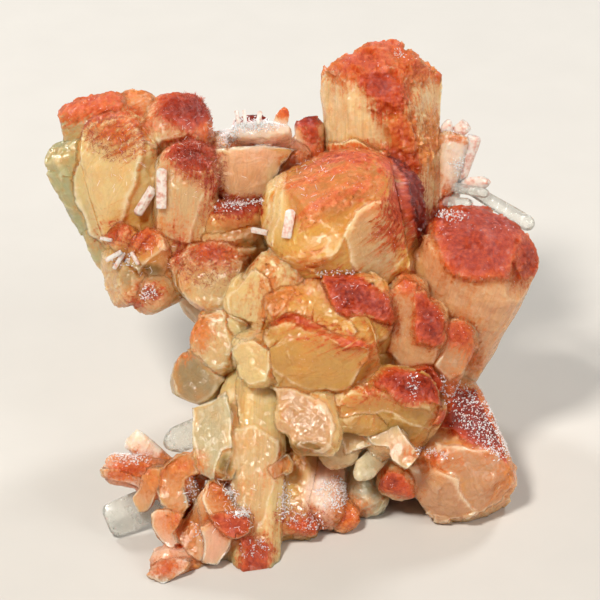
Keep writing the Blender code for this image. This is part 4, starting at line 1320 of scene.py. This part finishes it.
def undergrowth():
    """Small crystals that line the sides and the back of the root mass and of the back's sheaves."""
    chance = random.Random("undergrowth")
    low, high = (Vector(corner) for corner in CAD_BOX)
    parents = (*ROOT_MASS[:2] * 4, *ROOT_MASS[3:] * 4, *BACK_SIDE)
    found = []
    for attempt in range(UNDERGROWTH * 20):
        parent = chance.choice(parents)
        across, through, along = crystal_axes(parent)
        turn = chance.uniform(0, 2 * math.pi)
        height = lengths(parent)[0] * chance.uniform(0.1, 0.8)
        half_width, half_thickness = half_sizes(parent, height)
        share = (abs(math.cos(turn) / half_width) ** ROUNDNESS
                 + abs(math.sin(turn) / half_thickness) ** ROUNDNESS)
        out = across * math.cos(turn) + through * math.sin(turn)
        skin = Vector(parent.root) + along * height + out * share ** (-1 / ROUNDNESS)
        lean = Vector((0, chance.uniform(-0.2, 0.8), chance.uniform(-0.4, 0.1)))
        tip = skin + (out + lean) * chance.uniform(2, 4.5)
        place = SEEN_TO_PART @ tip
        inside = all(low[axis] + BOX_MARGIN < place[axis] < high[axis] - BOX_MARGIN for axis in range(3))
        if out.z > 0.3 or not inside or place.z < LOWEST_TIP or not in_view(tip):
            continue
        if any(depth_inside(crystal, np.array([skin])).max() > 1 for crystal in SHEAVES):
            continue
        width = chance.uniform(5.5, 12)
        found.append(parent._replace(
            name=f"undergrowth {len(found)}", root=tuple(skin - out * 4), tip=tuple(tip), width=width,
            thickness=width * chance.uniform(0.4, 0.8), form=chance.choice(ALL_FORMS[:3]),
            tint=chance.choice(("beige", "cream", "peach", "honey", "grey")),
            stain=chance.choice((0, 0, 0, -1, 1)), taper=0.85, crown=0.4, facing=(0.1, 1, 0.2),
            lumpy=0.4, ribbed=0.5,
        ))
        if len(found) == UNDERGROWTH:
            break
    return found


def plain_crystal(crystal, forms):
    """A crystal with no skin yet, as seen, in millimetres."""
    mesh = forms[crystal.form].copy()
    fit_to(crystal, mesh)
    turned = Matrix(crystal_axes(crystal)).transposed().to_4x4()
    mesh.transform(Matrix.Translation(crystal.root) @ turned)
    return link(crystal.name, mesh)


PLATE_DEPTH = 5.0  # mm that a plate reaches back from its face


def plain_plate(face, crystals):
    """A flat plate with the outline of a face, which stands on the crystals behind its middle."""
    middle = np.mean(face.corners, axis=0)
    depths = np.arange(40, -30, -0.2)
    places = np.column_stack((np.tile(middle, (len(depths), 1)), depths))
    filled = np.any([depth_inside(crystal, places) > 0 for crystal in crystals], axis=0)
    toward = depths[filled.argmax()] + face.rise
    front = [(*corner, toward + np.dot(face.lean, np.array(corner) - middle)) for corner in face.corners]
    back = [(right, up, depth - PLATE_DEPTH) for right, up, depth in front]
    number = len(front)
    ends = [tuple(range(number)), tuple(range(2 * number - 1, number - 1, -1))]
    following = [*range(1, number), 0]
    sides = [(each, after, after + number, each + number) for each, after in enumerate(following)]
    mesh = bpy.data.meshes.new(face.where)
    mesh.from_pydata([*front, *back], [], [*ends, *sides])
    shown = link(face.where, mesh)
    make_active(shown)
    bpy.ops.object.mode_set(mode="EDIT")
    bpy.ops.mesh.select_all(action="SELECT")
    bpy.ops.mesh.normals_make_consistent(inside=False)
    bpy.ops.object.mode_set(mode="OBJECT")
    return shown


def join_all(pieces):
    """Joins these objects to one, and leaves it active."""
    bpy.ops.object.select_all(action="DESELECT")
    for shown in pieces:
        shown.select_set(True)
    bpy.context.view_layer.objects.active = pieces[0]
    if len(pieces) > 1:
        bpy.ops.object.join()
    return pieces[0]


def finish_piece(shown, name, material):
    """Gives a piece its name, material and body."""
    shown.name = name
    shown.data.name = name
    shown.data.materials.clear()
    shown.data.materials.append(material)
    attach(shown, "root")
    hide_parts(NODE)


MADE = {}


def crystal_tools():
    """The forms and the skin that all sheaves share, made once."""
    if not MADE:
        MADE["forms"] = {form: form_master(form) for form in CROWNS}
        MADE["skin"] = grown_skin_nodes()
    return MADE


CUT_STEP = 0.00001  # metres between the flat cuts of the groups, so that no two lie in one plane
SHEAF_PIECES = (
    "root_mass", "tall_and_centre_sheaves", "left_lobe_sheaves", "front_sheaves",
    "lower_right_sheaves", "foot_sheaves", "back_sheaves",
)
# How coarse a piece's skin is, beside the face size
COARSENESS = {"root_mass": 1.4, "back_sheaves": 1.2, "front_sheaves": 0.88, "foot_sheaves": 0.74}


def grow_group(name, group, rubbed=2, filled=1):
    """The sheaves of one group, with their sprouts, grown together to one skin. It is rubbed smooth and
    its creases are filled so many times."""
    looks = bpy.context.scene.stilbite_looks
    tools = crystal_tools()
    bundles = [(each, crystal) for crystal in group for each in (crystal, *sprouts(crystal))]
    crystals, homes = zip(*bundles)
    faces = FACES.get(name, ())
    plates = [plain_plate(face, crystals) for face in faces if face.plate]
    shown = join_all([*(plain_crystal(crystal, tools["forms"]) for crystal in crystals), *plates])
    together = shown.modifiers.new("grown together", "REMESH")
    together.mode = "VOXEL"
    together.voxel_size = looks.face_size * COARSENESS.get(name, 1.0)
    bpy.ops.object.modifier_apply(modifier=together.name)
    describe(shown, crystals, homes, looks)
    for step in range(filled):
        fill_creases(shown.data)
    move_points(shown.data, smoothed(shown.data, rubbed))
    carve(shown, faces, homes, looks)
    apply_nodes(shown, tools["skin"], {"Ribs": looks.ribs})
    note_relief(shown)
    shown.data.transform(SEEN_TO_PART)
    cut_flat(shown, SHEAF_PIECES.index(name) * CUT_STEP)
    remove_buried(shown, group)
    shade(shown, SHARP_SHEAF)
    finish_piece(shown, name, stilbite_material())


# Materials

def new_material(name, settings):
    """A material whose surface has these settings, with its tree and the surface's inputs. Where there is
    one of that name already, it comes with no tree."""
    material = bpy.data.materials.get(name)
    if material:
        return material, None, None
    material = bpy.data.materials.new(name)
    material.use_nodes = True
    tree = material.node_tree
    surface = tree.nodes["Principled BSDF"].inputs
    for label, value in settings.items():
        surface[label].default_value = value
    return material, tree, surface


def stilbite_material():
    """Stilbite, as grown: a waxy glass that glows from inside, with long fine ribs and rust on its ends, and
    with painted light: a glow in its hollows, highlights on ridges and rims, glints on the rust.
    """
    material, tree, surface = new_material("stilbite, as grown, iron stained", {
        "Subsurface Radius": (1.0, 0.68, 0.46), "Subsurface Scale": 0.007, "IOR": 1.5,
        "Specular IOR Level": 0.6,
    })
    if not tree:
        return material
    grain, tint, reach, deep, ribbed, relief, growth, rim = (
        add(tree, "ShaderNodeAttribute", attribute_name=name).outputs[output]
        for name, output in (("grain", "Vector"), ("tint", "Color"), ("stain", "Fac"), ("deep", "Fac"),
                             ("ribbed", "Fac"), ("relief", "Fac"), ("growth", "Fac"), ("rim", "Fac"))
    )
    drawn_out = add(tree, "ShaderNodeVectorMath", (grain, (1.0, 1.0, 0.05)), operation="MULTIPLY")

    # Ribs of 0.6 mm along the crystal, and clouds of 6 mm in it. A painted honey glow lies in the hollows,
    # and a pale painted highlight on the ridges
    ribs = add(tree, "ShaderNodeTexNoise",
               {"Vector": drawn_out, "Scale": 1.6, "Detail": 4.0, "Roughness": 0.6})
    clouds = add(tree, "ShaderNodeTexNoise", {"Vector": grain, "Scale": 0.16, "Detail": 3.0})
    fine = add(tree, "ShaderNodeTexNoise", {"Vector": grain, "Scale": 1.1, "Detail": 5.0, "Roughness": 0.68})
    faint = add(tree, "ShaderNodeMapRange", (ribbed, 0.0, 1.0, 0.03, 0.13))
    rib_tone = add(tree, "ShaderNodeMapRange", (ribs, 0.35, 0.65, -1.0, 0.4))
    rib_tone = add(tree, "ShaderNodeMath", (rib_tone, faint, 1.0), operation="MULTIPLY_ADD")
    warm = add(tree, "ShaderNodeVectorMath", {0: tint, "Scale": rib_tone}, operation="SCALE").outputs[0]
    cloud_share = add(tree, "ShaderNodeMapRange", (clouds, 0.5, 0.72, 0.0, 0.4))
    hollow = add(tree, "ShaderNodeMapRange", (relief, -0.05, -0.5, 0.0, 0.6))
    ridge = add(tree, "ShaderNodeMapRange", (relief, 0.1, 0.45, 0.0, 0.3))
    for share, colour in ((cloud_share, "#DF9A48"), (hollow, "#EBAA50"), (ridge, "#FBEBD2")):
        warm = add(tree, "ShaderNodeMix", {"Factor": share, "A": warm, "B": (*linear(colour), 1)},
                   data_type="RGBA").outputs[2]

    # Growth lines of 0.5 mm run along a face's outline, and a pale painted highlight runs along its rim
    uneven = add(tree, "ShaderNodeMath", (fine, 0.9, growth), operation="MULTIPLY_ADD")
    uneven = add(tree, "ShaderNodeMath", (clouds, 5.0, uneven), operation="MULTIPLY_ADD")
    lines = add(tree, "ShaderNodeTexNoise", {"W": uneven, "Scale": 2.2, "Detail": 3.0}, noise_dimensions="1D")
    line_tone = add(tree, "ShaderNodeMapRange", (lines, 0.3, 0.7, 0.95, 1.03))
    warm = add(tree, "ShaderNodeVectorMath", {0: warm, "Scale": line_tone}, operation="SCALE").outputs[0]
    broken = add(tree, "ShaderNodeMapRange", (fine, 0.42, 0.62, 0.2, 0.9))
    painted_rim_highlight = add(tree, "ShaderNodeMath", (rim, broken), operation="MULTIPLY")
    warm = add(tree, "ShaderNodeMix", {"Factor": painted_rim_highlight, "A": warm, "B": (*linear("#FCEBD6"), 1)},
               data_type="RGBA").outputs[2]

    # The stain's edge is ragged, runs down the ribs, and is smeared aslant where there are few
    ragged = add(tree, "ShaderNodeMapRange", (fine, 0.0, 1.0, -4.2, 4.2))
    runs = add(tree, "ShaderNodeMapRange", (ribs, 0.0, 1.0, -4.0, 4.0))
    runs = add(tree, "ShaderNodeMath", (runs, ribbed), operation="MULTIPLY")
    patchy = add(tree, "ShaderNodeMapRange", (clouds, 0.0, 1.0, -2.4, 2.0))
    slanting = add(tree, "ShaderNodeMapping",
                   {"Vector": grain, "Rotation": (0, 0.3, 0), "Scale": (10.0, 2.0, 1.0)},
                   vector_type="TEXTURE")
    streaks = add(tree, "ShaderNodeTexNoise",
                  {"Vector": slanting, "Scale": 1.0, "Detail": 4.0, "Roughness": 0.6})
    plain = add(tree, "ShaderNodeMapRange", (ribbed, 0.0, 0.4, 1.0, 0.0))
    smears = add(tree, "ShaderNodeMapRange", (streaks, 0.3, 0.7, -4.5, 4.5))
    smears = add(tree, "ShaderNodeMath", (smears, plain), operation="MULTIPLY")
    inside = reach
    for part in (ragged, smears, runs, patchy):
        inside = add(tree, "ShaderNodeMath", (inside, part), operation="ADD")
    stained = add(tree, "ShaderNodeMapRange", (inside, -0.9, 1.8), interpolation_type="SMOOTHSTEP")
    wash = add(tree, "ShaderNodeMapRange", (inside, -3.2, 0.5, 0.0, 0.6), interpolation_type="SMOOTHSTEP")
    warm = add(tree, "ShaderNodeMix", {"Factor": wash, "A": warm, "B": (*linear("#D27836"), 1)},
               data_type="RGBA").outputs[2]

    # The rust is redder deep inside the stain, and mottled
    redness = add(tree, "ShaderNodeMapRange", (inside, 0.0, 7.0, -0.15, 0.2))
    mottled = add(tree, "ShaderNodeMapRange", (fine, 0.3, 0.7, 0.28, -0.3))
    for part in (deep, mottled):
        redness = add(tree, "ShaderNodeMath", (redness, part), operation="ADD")
    rust = add(tree, "ShaderNodeValToRGB", (redness,))
    stops = rust.color_ramp.elements
    stops[0].color = (*linear("#DF8C46"), 1)
    stops[1].color = (*linear("#76190C"), 1)
    for place, colour in ((0.28, "#D86C30"), (0.52, "#C64C20"), (0.78, "#A23014")):
        stops.new(place).color = (*linear(colour), 1)
    coloured = add(tree, "ShaderNodeMix", {"Factor": stained, "A": warm, "B": rust.outputs["Color"]},
                   data_type="RGBA").outputs[2]

    # Pale specks on the rust, at most one in 0.45 mm: partly a dust of pale grains, partly painted glints
    dust_and_glint_cells = add(tree, "ShaderNodeTexVoronoi", {"Vector": grain, "Scale": 2.2})
    pale_dust_and_glints = add(tree, "ShaderNodeMapRange", (dust_and_glint_cells.outputs["Distance"], 0.3, 0.2))
    pick_grain = add(tree, "ShaderNodeSeparateColor", (dust_and_glint_cells.outputs["Color"],)).outputs[0]
    crowded = add(tree, "ShaderNodeMapRange", (clouds, 0.45, 0.65, -0.25, 0.12))
    some = add(tree, "ShaderNodeMath", (pick_grain, crowded), operation="ADD")
    some = add(tree, "ShaderNodeMapRange", (some, 0.86, 0.9))
    on_rust = add(tree, "ShaderNodeMapRange", (stained, 0.0, 1.0, 0.3, 0.9))
    for part in (some, on_rust):
        pale_dust_and_glints = add(tree, "ShaderNodeMath", (pale_dust_and_glints, part), operation="MULTIPLY")
    final = add(tree, "ShaderNodeMix", {"Factor": pale_dust_and_glints, "A": coloured, "B": (*linear("#F6E3D8"), 1)},
                data_type="RGBA")
    tree.links.new(final.outputs[2], surface["Base Color"])
    roughness = add(tree, "ShaderNodeMapRange", (stained, 0.0, 1.0, 0.14, 0.2))
    tree.links.new(roughness.outputs[0], surface["Roughness"])
    glow = add(tree, "ShaderNodeMapRange", (stained, 0.0, 1.0, 1.0, 0.55))
    tree.links.new(glow.outputs[0], surface["Subsurface Weight"])

    # Bumps: ribs, smears, growth lines, glinting facets of 1.2 mm, each with its own tilt, and a fine
    # crust. The last two are strongest on the rust
    grooves = add(tree, "ShaderNodeMath", (ribs, ribbed), operation="MULTIPLY")
    smear_height = add(tree, "ShaderNodeMath", (streaks, plain), operation="MULTIPLY")
    amount = add(tree, "ShaderNodeMapRange", (stained, 0.0, 1.0, 0.34, 1.0))
    tilt = add(tree, "ShaderNodeMath", (tilted_facets(tree, grain, 0.85), amount), operation="MULTIPLY")
    crust = add(tree, "ShaderNodeMath", (fine, amount), operation="MULTIPLY")
    bump = None
    for strength, distance, height in (
        (0.6, 0.0003, grooves), (0.7, 0.0005, smear_height), (0.2, 0.0004, lines), (1.0, 0.001, tilt),
        (0.9, 0.00035, crust),
    ):
        under = {"Normal": bump} if bump else {}
        bump = add(tree, "ShaderNodeBump",
                   {"Strength": strength, "Distance": distance, "Height": height, **under})
    tree.links.new(bump.outputs[0], surface["Normal"])
    return material


def two_tones(tree, surface, scale, ends, colours, detail=2.0):
    """Colours a surface with two colours that run into each other in spots, so many to a metre, between
    these two values of the spots' pattern. Gives the pattern."""
    place = add(tree, "ShaderNodeTexCoord").outputs["Object"]
    spots = add(tree, "ShaderNodeTexNoise", {"Vector": place, "Scale": scale, "Detail": detail})
    share = add(tree, "ShaderNodeMapRange", (spots, *ends))
    first, second = ((*linear(colour), 1) for colour in colours)
    cast = add(tree, "ShaderNodeMix", {"Factor": share, "A": first, "B": second}, data_type="RGBA")
    tree.links.new(cast.outputs[2], surface["Base Color"])
    return spots


def clear_material():
    """Colourless zeolite, as grown: clear glass with a faint green-grey cast and a few veils of 2 mm."""
    material, tree, surface = new_material("clear zeolite, as grown", {
        "Base Color": (*linear("#F6F8F2"), 1), "Transmission Weight": 0.76, "IOR": 1.49,
    })
    if not tree:
        return material
    place = add(tree, "ShaderNodeTexCoord").outputs["Object"]
    veils = add(tree, "ShaderNodeTexNoise", {"Vector": place, "Scale": 500.0, "Detail": 4.0})
    rough = add(tree, "ShaderNodeMapRange", (veils, 0.4, 0.75, 0.06, 0.4))
    tree.links.new(rough.outputs[0], surface["Roughness"])
    bump = add(tree, "ShaderNodeBump", {"Strength": 0.8, "Distance": 0.0005, "Height": veils})
    tree.links.new(bump.outputs[0], surface["Normal"])
    return material


def milky_material():
    """White zeolite, as grown: milky glass with pink veils of 1 mm, bright where light gets into it."""
    material, tree, surface = new_material("milky zeolite, as grown", {
        "Roughness": 0.2, "IOR": 1.49, "Transmission Weight": 0.2, "Subsurface Weight": 1.0,
        "Subsurface Radius": (1.0, 0.8, 0.7), "Subsurface Scale": 0.002,
    })
    if not tree:
        return material
    veils = two_tones(tree, surface, 900.0, (0.44, 0.7), ("#FBEDE4", "#DFA593"), 4.0)
    bump = add(tree, "ShaderNodeBump", {"Strength": 0.8, "Distance": 0.0005, "Height": veils})
    tree.links.new(bump.outputs[0], surface["Normal"])
    return material


def white_needle_material():
    """White zeolite hairs, as grown: silky and bright."""
    material, tree, surface = new_material(
        "white zeolite hairs, as grown", {"Roughness": 0.25, "Sheen Weight": 0.3})
    if tree:
        two_tones(tree, surface, 300.0, (0.0, 1.0), ("#FFFFFF", "#FFEADB"))
    return material


def sugar_material():
    """Sugary druse: tiny glassy crystals, white with a breath of pink."""
    material, tree, surface = new_material("zeolite druse, as grown", {
        "Roughness": 0.15, "Subsurface Weight": 0.6, "Subsurface Radius": (1.0, 0.7, 0.6),
        "Subsurface Scale": 0.001,
    })
    if tree:
        two_tones(tree, surface, 300.0, (0.45, 0.8), ("#FFFFFF", "#F0BCAC"))
    return material


def needle_material():
    """Iron oxide needles: fine brick-red hairs with a silky shine."""
    material, tree, surface = new_material("iron oxide needles, as grown", {"Roughness": 0.42})
    if tree:
        two_tones(tree, surface, 300.0, (0.0, 1.0), ("#7E1E12", "#D46A4A"))
    return material


# Small growth

def grains_nodes(name, attribute, sides, slimness, blunt, lean):
    """Stands small crystals on a piece where the attribute says, and keeps only them."""
    tree, given = new_group(name, ("Number", "Size"))
    amount = add(tree, "GeometryNodeInputNamedAttribute", {"Name": attribute}, data_type="FLOAT")
    number = add(tree, "ShaderNodeMath", (amount, given["Number"]), operation="MULTIPLY")
    points = add(tree, "GeometryNodeDistributePointsOnFaces", {
        "Mesh": given["Geometry"], "Density": number, "Seed": 7}).outputs
    turn = add(tree, "FunctionNodeRandomValue", {
        0: (-lean, -lean, -math.pi), 1: (lean, lean, math.pi)}, data_type="FLOAT_VECTOR")
    turned = add(tree, "FunctionNodeEulerToRotation", (turn.outputs[0],))
    standing = add(tree, "FunctionNodeRotateRotation", (points["Rotation"], turned), rotation_space="LOCAL")
    shape = add(tree, "GeometryNodeMeshCone", {
        "Vertices": sides, "Radius Top": blunt / slimness, "Radius Bottom": 1 / slimness, "Depth": 2.0},
        fill_type="TRIANGLE_FAN")
    size = add(tree, "FunctionNodeRandomValue", {2: 0.45, 3: 1.3}, data_type="FLOAT")
    size = add(tree, "ShaderNodeMath", (size.outputs[1], given["Size"]), operation="MULTIPLY")
    grown = add(tree, "GeometryNodeInstanceOnPoints", {
        "Points": points["Points"], "Instance": shape.outputs["Mesh"], "Rotation": standing, "Scale": size})
    real = add(tree, "GeometryNodeRealizeInstances", (grown,))
    add(tree, "NodeGroupOutput", (real,))
    return tree


LEAST_SOWN = 0.9  # a piece whose attribute stays under this grows none


def grow_grains(name, tree, attribute, number, size, material):
    """Small crystals on all the sheaf pieces where the attribute says, joined to one piece."""
    made = []
    for piece in [bpy.data.objects[piece_name] for piece_name in SHEAF_PIECES]:
        if read(piece.data, attribute).max() < LEAST_SOWN:
            continue
        copy = link(name, piece.data.copy())
        apply_nodes(copy, tree, {"Number": number / MM ** 2, "Size": size * MM})
        made.append(copy)
    finish_piece(join_all(made), name, material)


def grow_blades(name, rows, material):
    """Glassy blades: their forms at their sizes, in their places, joined to one piece."""
    pieces = [plain_crystal(crystal, crystal_tools()["forms"]) for crystal in rows]
    for number, piece in enumerate(pieces):
        piece.data.transform(SEEN_TO_PART)
        cut_flat(piece, (number + len(SHEAF_PIECES) * len(rows)) * CUT_STEP)
    shown = join_all(pieces)
    shade(shown, SHARP_BLADE)
    finish_piece(shown, name, material)


def over_skin(spot, at_least):
    """The place so far over the skin that is seen at this spot, or over the depth given, if it is behind."""
    start = SEEN_TO_PART @ Vector((spot[0], spot[1], 60))
    ahead = SEEN_TO_PART.to_3x3() @ Vector((0, 0, -1))
    hit, place, *rest = bpy.context.scene.ray_cast(
        bpy.context.view_layer.depsgraph, start, ahead.normalized())
    return Vector((spot[0], spot[1], max((SEEN_TO_PART.inverted() @ place).z, at_least) + spot[2]))


def prism_between(prism):
    """A six-sided prism with a short blunt point, which lies or stands on the skin."""
    root = over_skin(prism.root, -30)
    tip = over_skin(prism.tip, root.z - 3)
    length = (tip - root).length
    bpy.ops.object.select_all(action="DESELECT")
    bpy.ops.mesh.primitive_cylinder_add(vertices=6, radius=prism.width / 2, depth=length,
                                        end_fill_type="NGON", location=(0, 0, length / 2))
    shown = bpy.context.active_object
    bpy.ops.object.transform_apply(location=True, rotation=False, scale=False)
    bpy.ops.object.mode_set(mode="EDIT")
    pick("faces", on_top)
    bpy.ops.mesh.extrude_region_move(TRANSFORM_OT_translate={"value": (0, 0, prism.width * 0.22)})
    bpy.ops.transform.resize(value=(0.45, 0.3, 1), center_override=(0, 0, length))
    pick("edges", lambda edge: True)
    bpy.ops.mesh.bevel(offset=prism.width * 0.05, segments=1)
    bpy.ops.object.mode_set(mode="OBJECT")
    along = (tip - root).to_track_quat("Z", "Y").to_matrix().to_4x4()
    shown.data.transform(SEEN_TO_PART @ Matrix.Translation(root) @ along)
    return shown


# Operators

class STILBITE_OT_root_mass(bpy.types.Operator):
    """Grows the mass in which the crystals root"""
    bl_idname = "stilbite.root_mass"
    bl_label = "Root mass"

    def execute(self, context):
        grow_group("root_mass", ROOT_MASS)
        return {"FINISHED"}


class STILBITE_OT_tall_and_centre(bpy.types.Operator):
    """Grows the tall column, the central dome and the capped sheaf at the right"""
    bl_idname = "stilbite.tall_and_centre"
    bl_label = "Tall column and centre"

    def execute(self, context):
        grow_group("tall_and_centre_sheaves", TALL_AND_CENTRE)
        return {"FINISHED"}


class STILBITE_OT_left_lobe(bpy.types.Operator):
    """Grows the lobe of sheaves at the upper left"""
    bl_idname = "stilbite.left_lobe"
    bl_label = "Left lobe"

    def execute(self, context):
        grow_group("left_lobe_sheaves", LEFT_LOBE, filled=2)
        return {"FINISHED"}


class STILBITE_OT_front(bpy.types.Operator):
    """Grows the sheaves and knobs in front"""
    bl_idname = "stilbite.front"
    bl_label = "Front"

    def execute(self, context):
        grow_group("front_sheaves", FRONT, rubbed=14, filled=4)
        return {"FINISHED"}


class STILBITE_OT_lower(bpy.types.Operator):
    """Grows the druse block at the lower right and the foot with its plates"""
    bl_idname = "stilbite.lower"
    bl_label = "Lower right and foot"

    def execute(self, context):
        grow_group("lower_right_sheaves", LOWER_RIGHT, rubbed=8, filled=3)
        grow_group("foot_sheaves", FOOT, rubbed=2)
        return {"FINISHED"}


class STILBITE_OT_back(bpy.types.Operator):
    """Grows the sheaves of the back and the small crystals between them"""
    bl_idname = "stilbite.back"
    bl_label = "Back"

    def execute(self, context):
        grow_group("back_sheaves", (*BACK_SIDE, *undergrowth()), rubbed=3)
        return {"FINISHED"}


class STILBITE_OT_blades(bpy.types.Operator):
    """Grows the clear and the milky blades"""
    bl_idname = "stilbite.blades"
    bl_label = "Clear and milky blades"

    def execute(self, context):
        grow_blades("clear_blades", CLEAR_BLADES, clear_material())
        grow_blades("milky_blades", MILKY_BLADES, milky_material())
        return {"FINISHED"}


class STILBITE_OT_prisms(bpy.types.Operator):
    """Stands the small white prisms on the sheaves"""
    bl_idname = "stilbite.prisms"
    bl_label = "White prisms"

    def execute(self, context):
        finish_piece(join_all([prism_between(prism) for prism in PRISMS]), "white_prisms", milky_material())
        return {"FINISHED"}


class STILBITE_OT_sugar(bpy.types.Operator):
    """Grows the sugary druse"""
    bl_idname = "stilbite.sugar"
    bl_label = "Sugary druse"

    def execute(self, context):
        tree = grains_nodes("sugar grains", "sugar", sides=4, slimness=1.4, blunt=0.5, lean=0.9)
        grow_grains("sugar_druse", tree, "sugar", context.scene.stilbite_looks.sugar, 0.22, sugar_material())
        return {"FINISHED"}


class STILBITE_OT_needles(bpy.types.Operator):
    """Grows the fine red needles"""
    bl_idname = "stilbite.needles"
    bl_label = "Red needles"

    def execute(self, context):
        tree = grains_nodes("red needles", "needles", sides=3, slimness=6.0, blunt=0.2, lean=1.1)
        number = context.scene.stilbite_looks.needles
        grow_grains("red_needles", tree, "needles", number, 0.42, needle_material())
        return {"FINISHED"}


class STILBITE_OT_white_needles(bpy.types.Operator):
    """Scatters single white needles that lie on the faces"""
    bl_idname = "stilbite.white_needles"
    bl_label = "White needles"

    def execute(self, context):
        number = context.scene.stilbite_looks.scratches
        tree = grains_nodes("white needles", "scratches", sides=4, slimness=12.0, blunt=0.7, lean=1.45)
        grow_grains("white_needles", tree, "scratches", number, 0.6, white_needle_material())
        return {"FINISHED"}


class STILBITE_OT_stage(bpy.types.Operator):
    """Sets the floor, the lights and the camera"""
    bl_idname = "stilbite.stage"
    bl_label = "Stage"

    def execute(self, context):
        looks = context.scene.stilbite_looks
        bpy.ops.object.select_all(action="DESELECT")
        bpy.ops.mesh.primitive_plane_add(size=6, location=(0, 0, 0))
        floor = context.active_object
        floor.name = "floor"
        floor.data.materials.append(floor_material(looks.floor))
        set_lights(looks.light)
        set_world(context.scene)
        set_camera(context.scene)
        return {"FINISHED"}


def floor_material(colour):
    """Painted board: pale, matt and even, with the faint mottle that a roller leaves."""
    material, tree, surface = new_material("painted board, matt", {"Roughness": 0.8})
    if not tree:
        return material
    place = add(tree, "ShaderNodeTexCoord").outputs["Object"]
    mottle = add(tree, "ShaderNodeTexNoise", {"Vector": place, "Scale": 60.0, "Detail": 3.0})
    tone = add(tree, "ShaderNodeMapRange", (mottle, 0.0, 1.0, 0.97, 1.03))
    paint = add(tree, "ShaderNodeVectorMath", {0: tuple(colour), "Scale": tone}, operation="SCALE")
    tree.links.new(paint.outputs[0], surface["Base Color"])
    return material


LIT_MIDDLE = (0, 0, 0.04)  # metres: where the lights are turned to


def set_lights(power):
    """Sets a key light of this power, a softer one that fills the shadows, and two behind for the rims."""
    for name, place, size, share, colour in (
        ("key light", (-0.35, -0.55, 0.9), 0.2, 1.0, "#FFF9F2"),
        ("fill light", (0.8, -0.5, 0.6), 0.7, 0.4, "#FFFAF4"),
        ("left rim light", (-0.55, 0.6, 0.5), 0.2, 0.35, "#FFFFFF"),
        ("right rim light", (0.5, 0.65, 0.6), 0.2, 0.35, "#FFFFFF"),
    ):
        data = bpy.data.lights.new(name, "AREA")
        data.shape = "DISK"
        data.size = size
        data.energy = power * share
        data.color = linear(colour)
        lamp = link(name, data)
        lamp.location = place
        lamp.rotation_euler = (Vector(LIT_MIDDLE) - Vector(place)).to_track_quat("-Z", "Y").to_euler()


def set_world(scene):
    """Lights the room softly from all sides, and shows colours as they are."""
    world = bpy.data.worlds.new("soft room")
    world.use_nodes = True
    background = world.node_tree.nodes["Background"].inputs
    background["Color"].default_value = (*linear("#F8F4EC"), 1)
    background["Strength"].default_value = 0.14
    scene.world = world
    scene.view_settings.view_transform = "Standard"


CAMERA_DISTANCE = 0.72  # metres
CAMERA_LENS = 180  # mm
AIM_UP = 1.68  # mm that the picture's middle lies above the middle of the cluster


def set_camera(scene):
    """Looks down on the cluster at VIEW_ELEVATION, from straight in front."""
    data = bpy.data.cameras.new("camera")
    data.lens = CAMERA_LENS
    data.sensor_width = 36
    data.clip_start = 0.01
    camera = link("camera", data)
    towards = Vector((0, -math.cos(VIEW_ELEVATION), math.sin(VIEW_ELEVATION)))
    aim = SEEN_TO_PART @ Vector((0, AIM_UP, 0))
    camera.location = aim + towards * CAMERA_DISTANCE
    camera.rotation_euler = (-towards).to_track_quat("-Z", "Y").to_euler()
    scene.camera = camera


class STILBITE_PT_panel(bpy.types.Panel):
    bl_label = "Stilbite cluster"
    bl_idname = "STILBITE_PT_panel"
    bl_space_type = "VIEW_3D"
    bl_region_type = "UI"
    bl_category = "Stilbite"

    def draw(self, context):
        for operator in OPERATORS:
            self.layout.operator(operator.bl_idname)
        for name in StilbiteLooks.__annotations__:
            self.layout.prop(context.scene.stilbite_looks, name)


OPERATORS = (
    STILBITE_OT_stage, STILBITE_OT_root_mass, STILBITE_OT_tall_and_centre, STILBITE_OT_left_lobe,
    STILBITE_OT_front, STILBITE_OT_lower, STILBITE_OT_back, STILBITE_OT_blades, STILBITE_OT_prisms,
    STILBITE_OT_sugar, STILBITE_OT_needles, STILBITE_OT_white_needles,
)
CLASSES = (StilbiteLooks, *OPERATORS, STILBITE_PT_panel)


def register():
    for each in CLASSES:
        bpy.utils.register_class(each)
    bpy.types.Scene.stilbite_looks = bpy.props.PointerProperty(type=StilbiteLooks)


def unregister():
    del bpy.types.Scene.stilbite_looks
    for each in reversed(CLASSES):
        bpy.utils.unregister_class(each)


def main():
    register()
    bpy.ops.stilbite.stage()
    bpy.ops.stilbite.root_mass()
    bpy.ops.stilbite.tall_and_centre()
    bpy.ops.stilbite.left_lobe()
    bpy.ops.stilbite.front()
    bpy.ops.stilbite.lower()
    bpy.ops.stilbite.back()
    bpy.ops.stilbite.blades()
    bpy.ops.stilbite.prisms()
    bpy.ops.stilbite.sugar()
    bpy.ops.stilbite.needles()
    bpy.ops.stilbite.white_needles()
    bpy.context.view_layer.update()


if __name__ == "__main__":
    main()
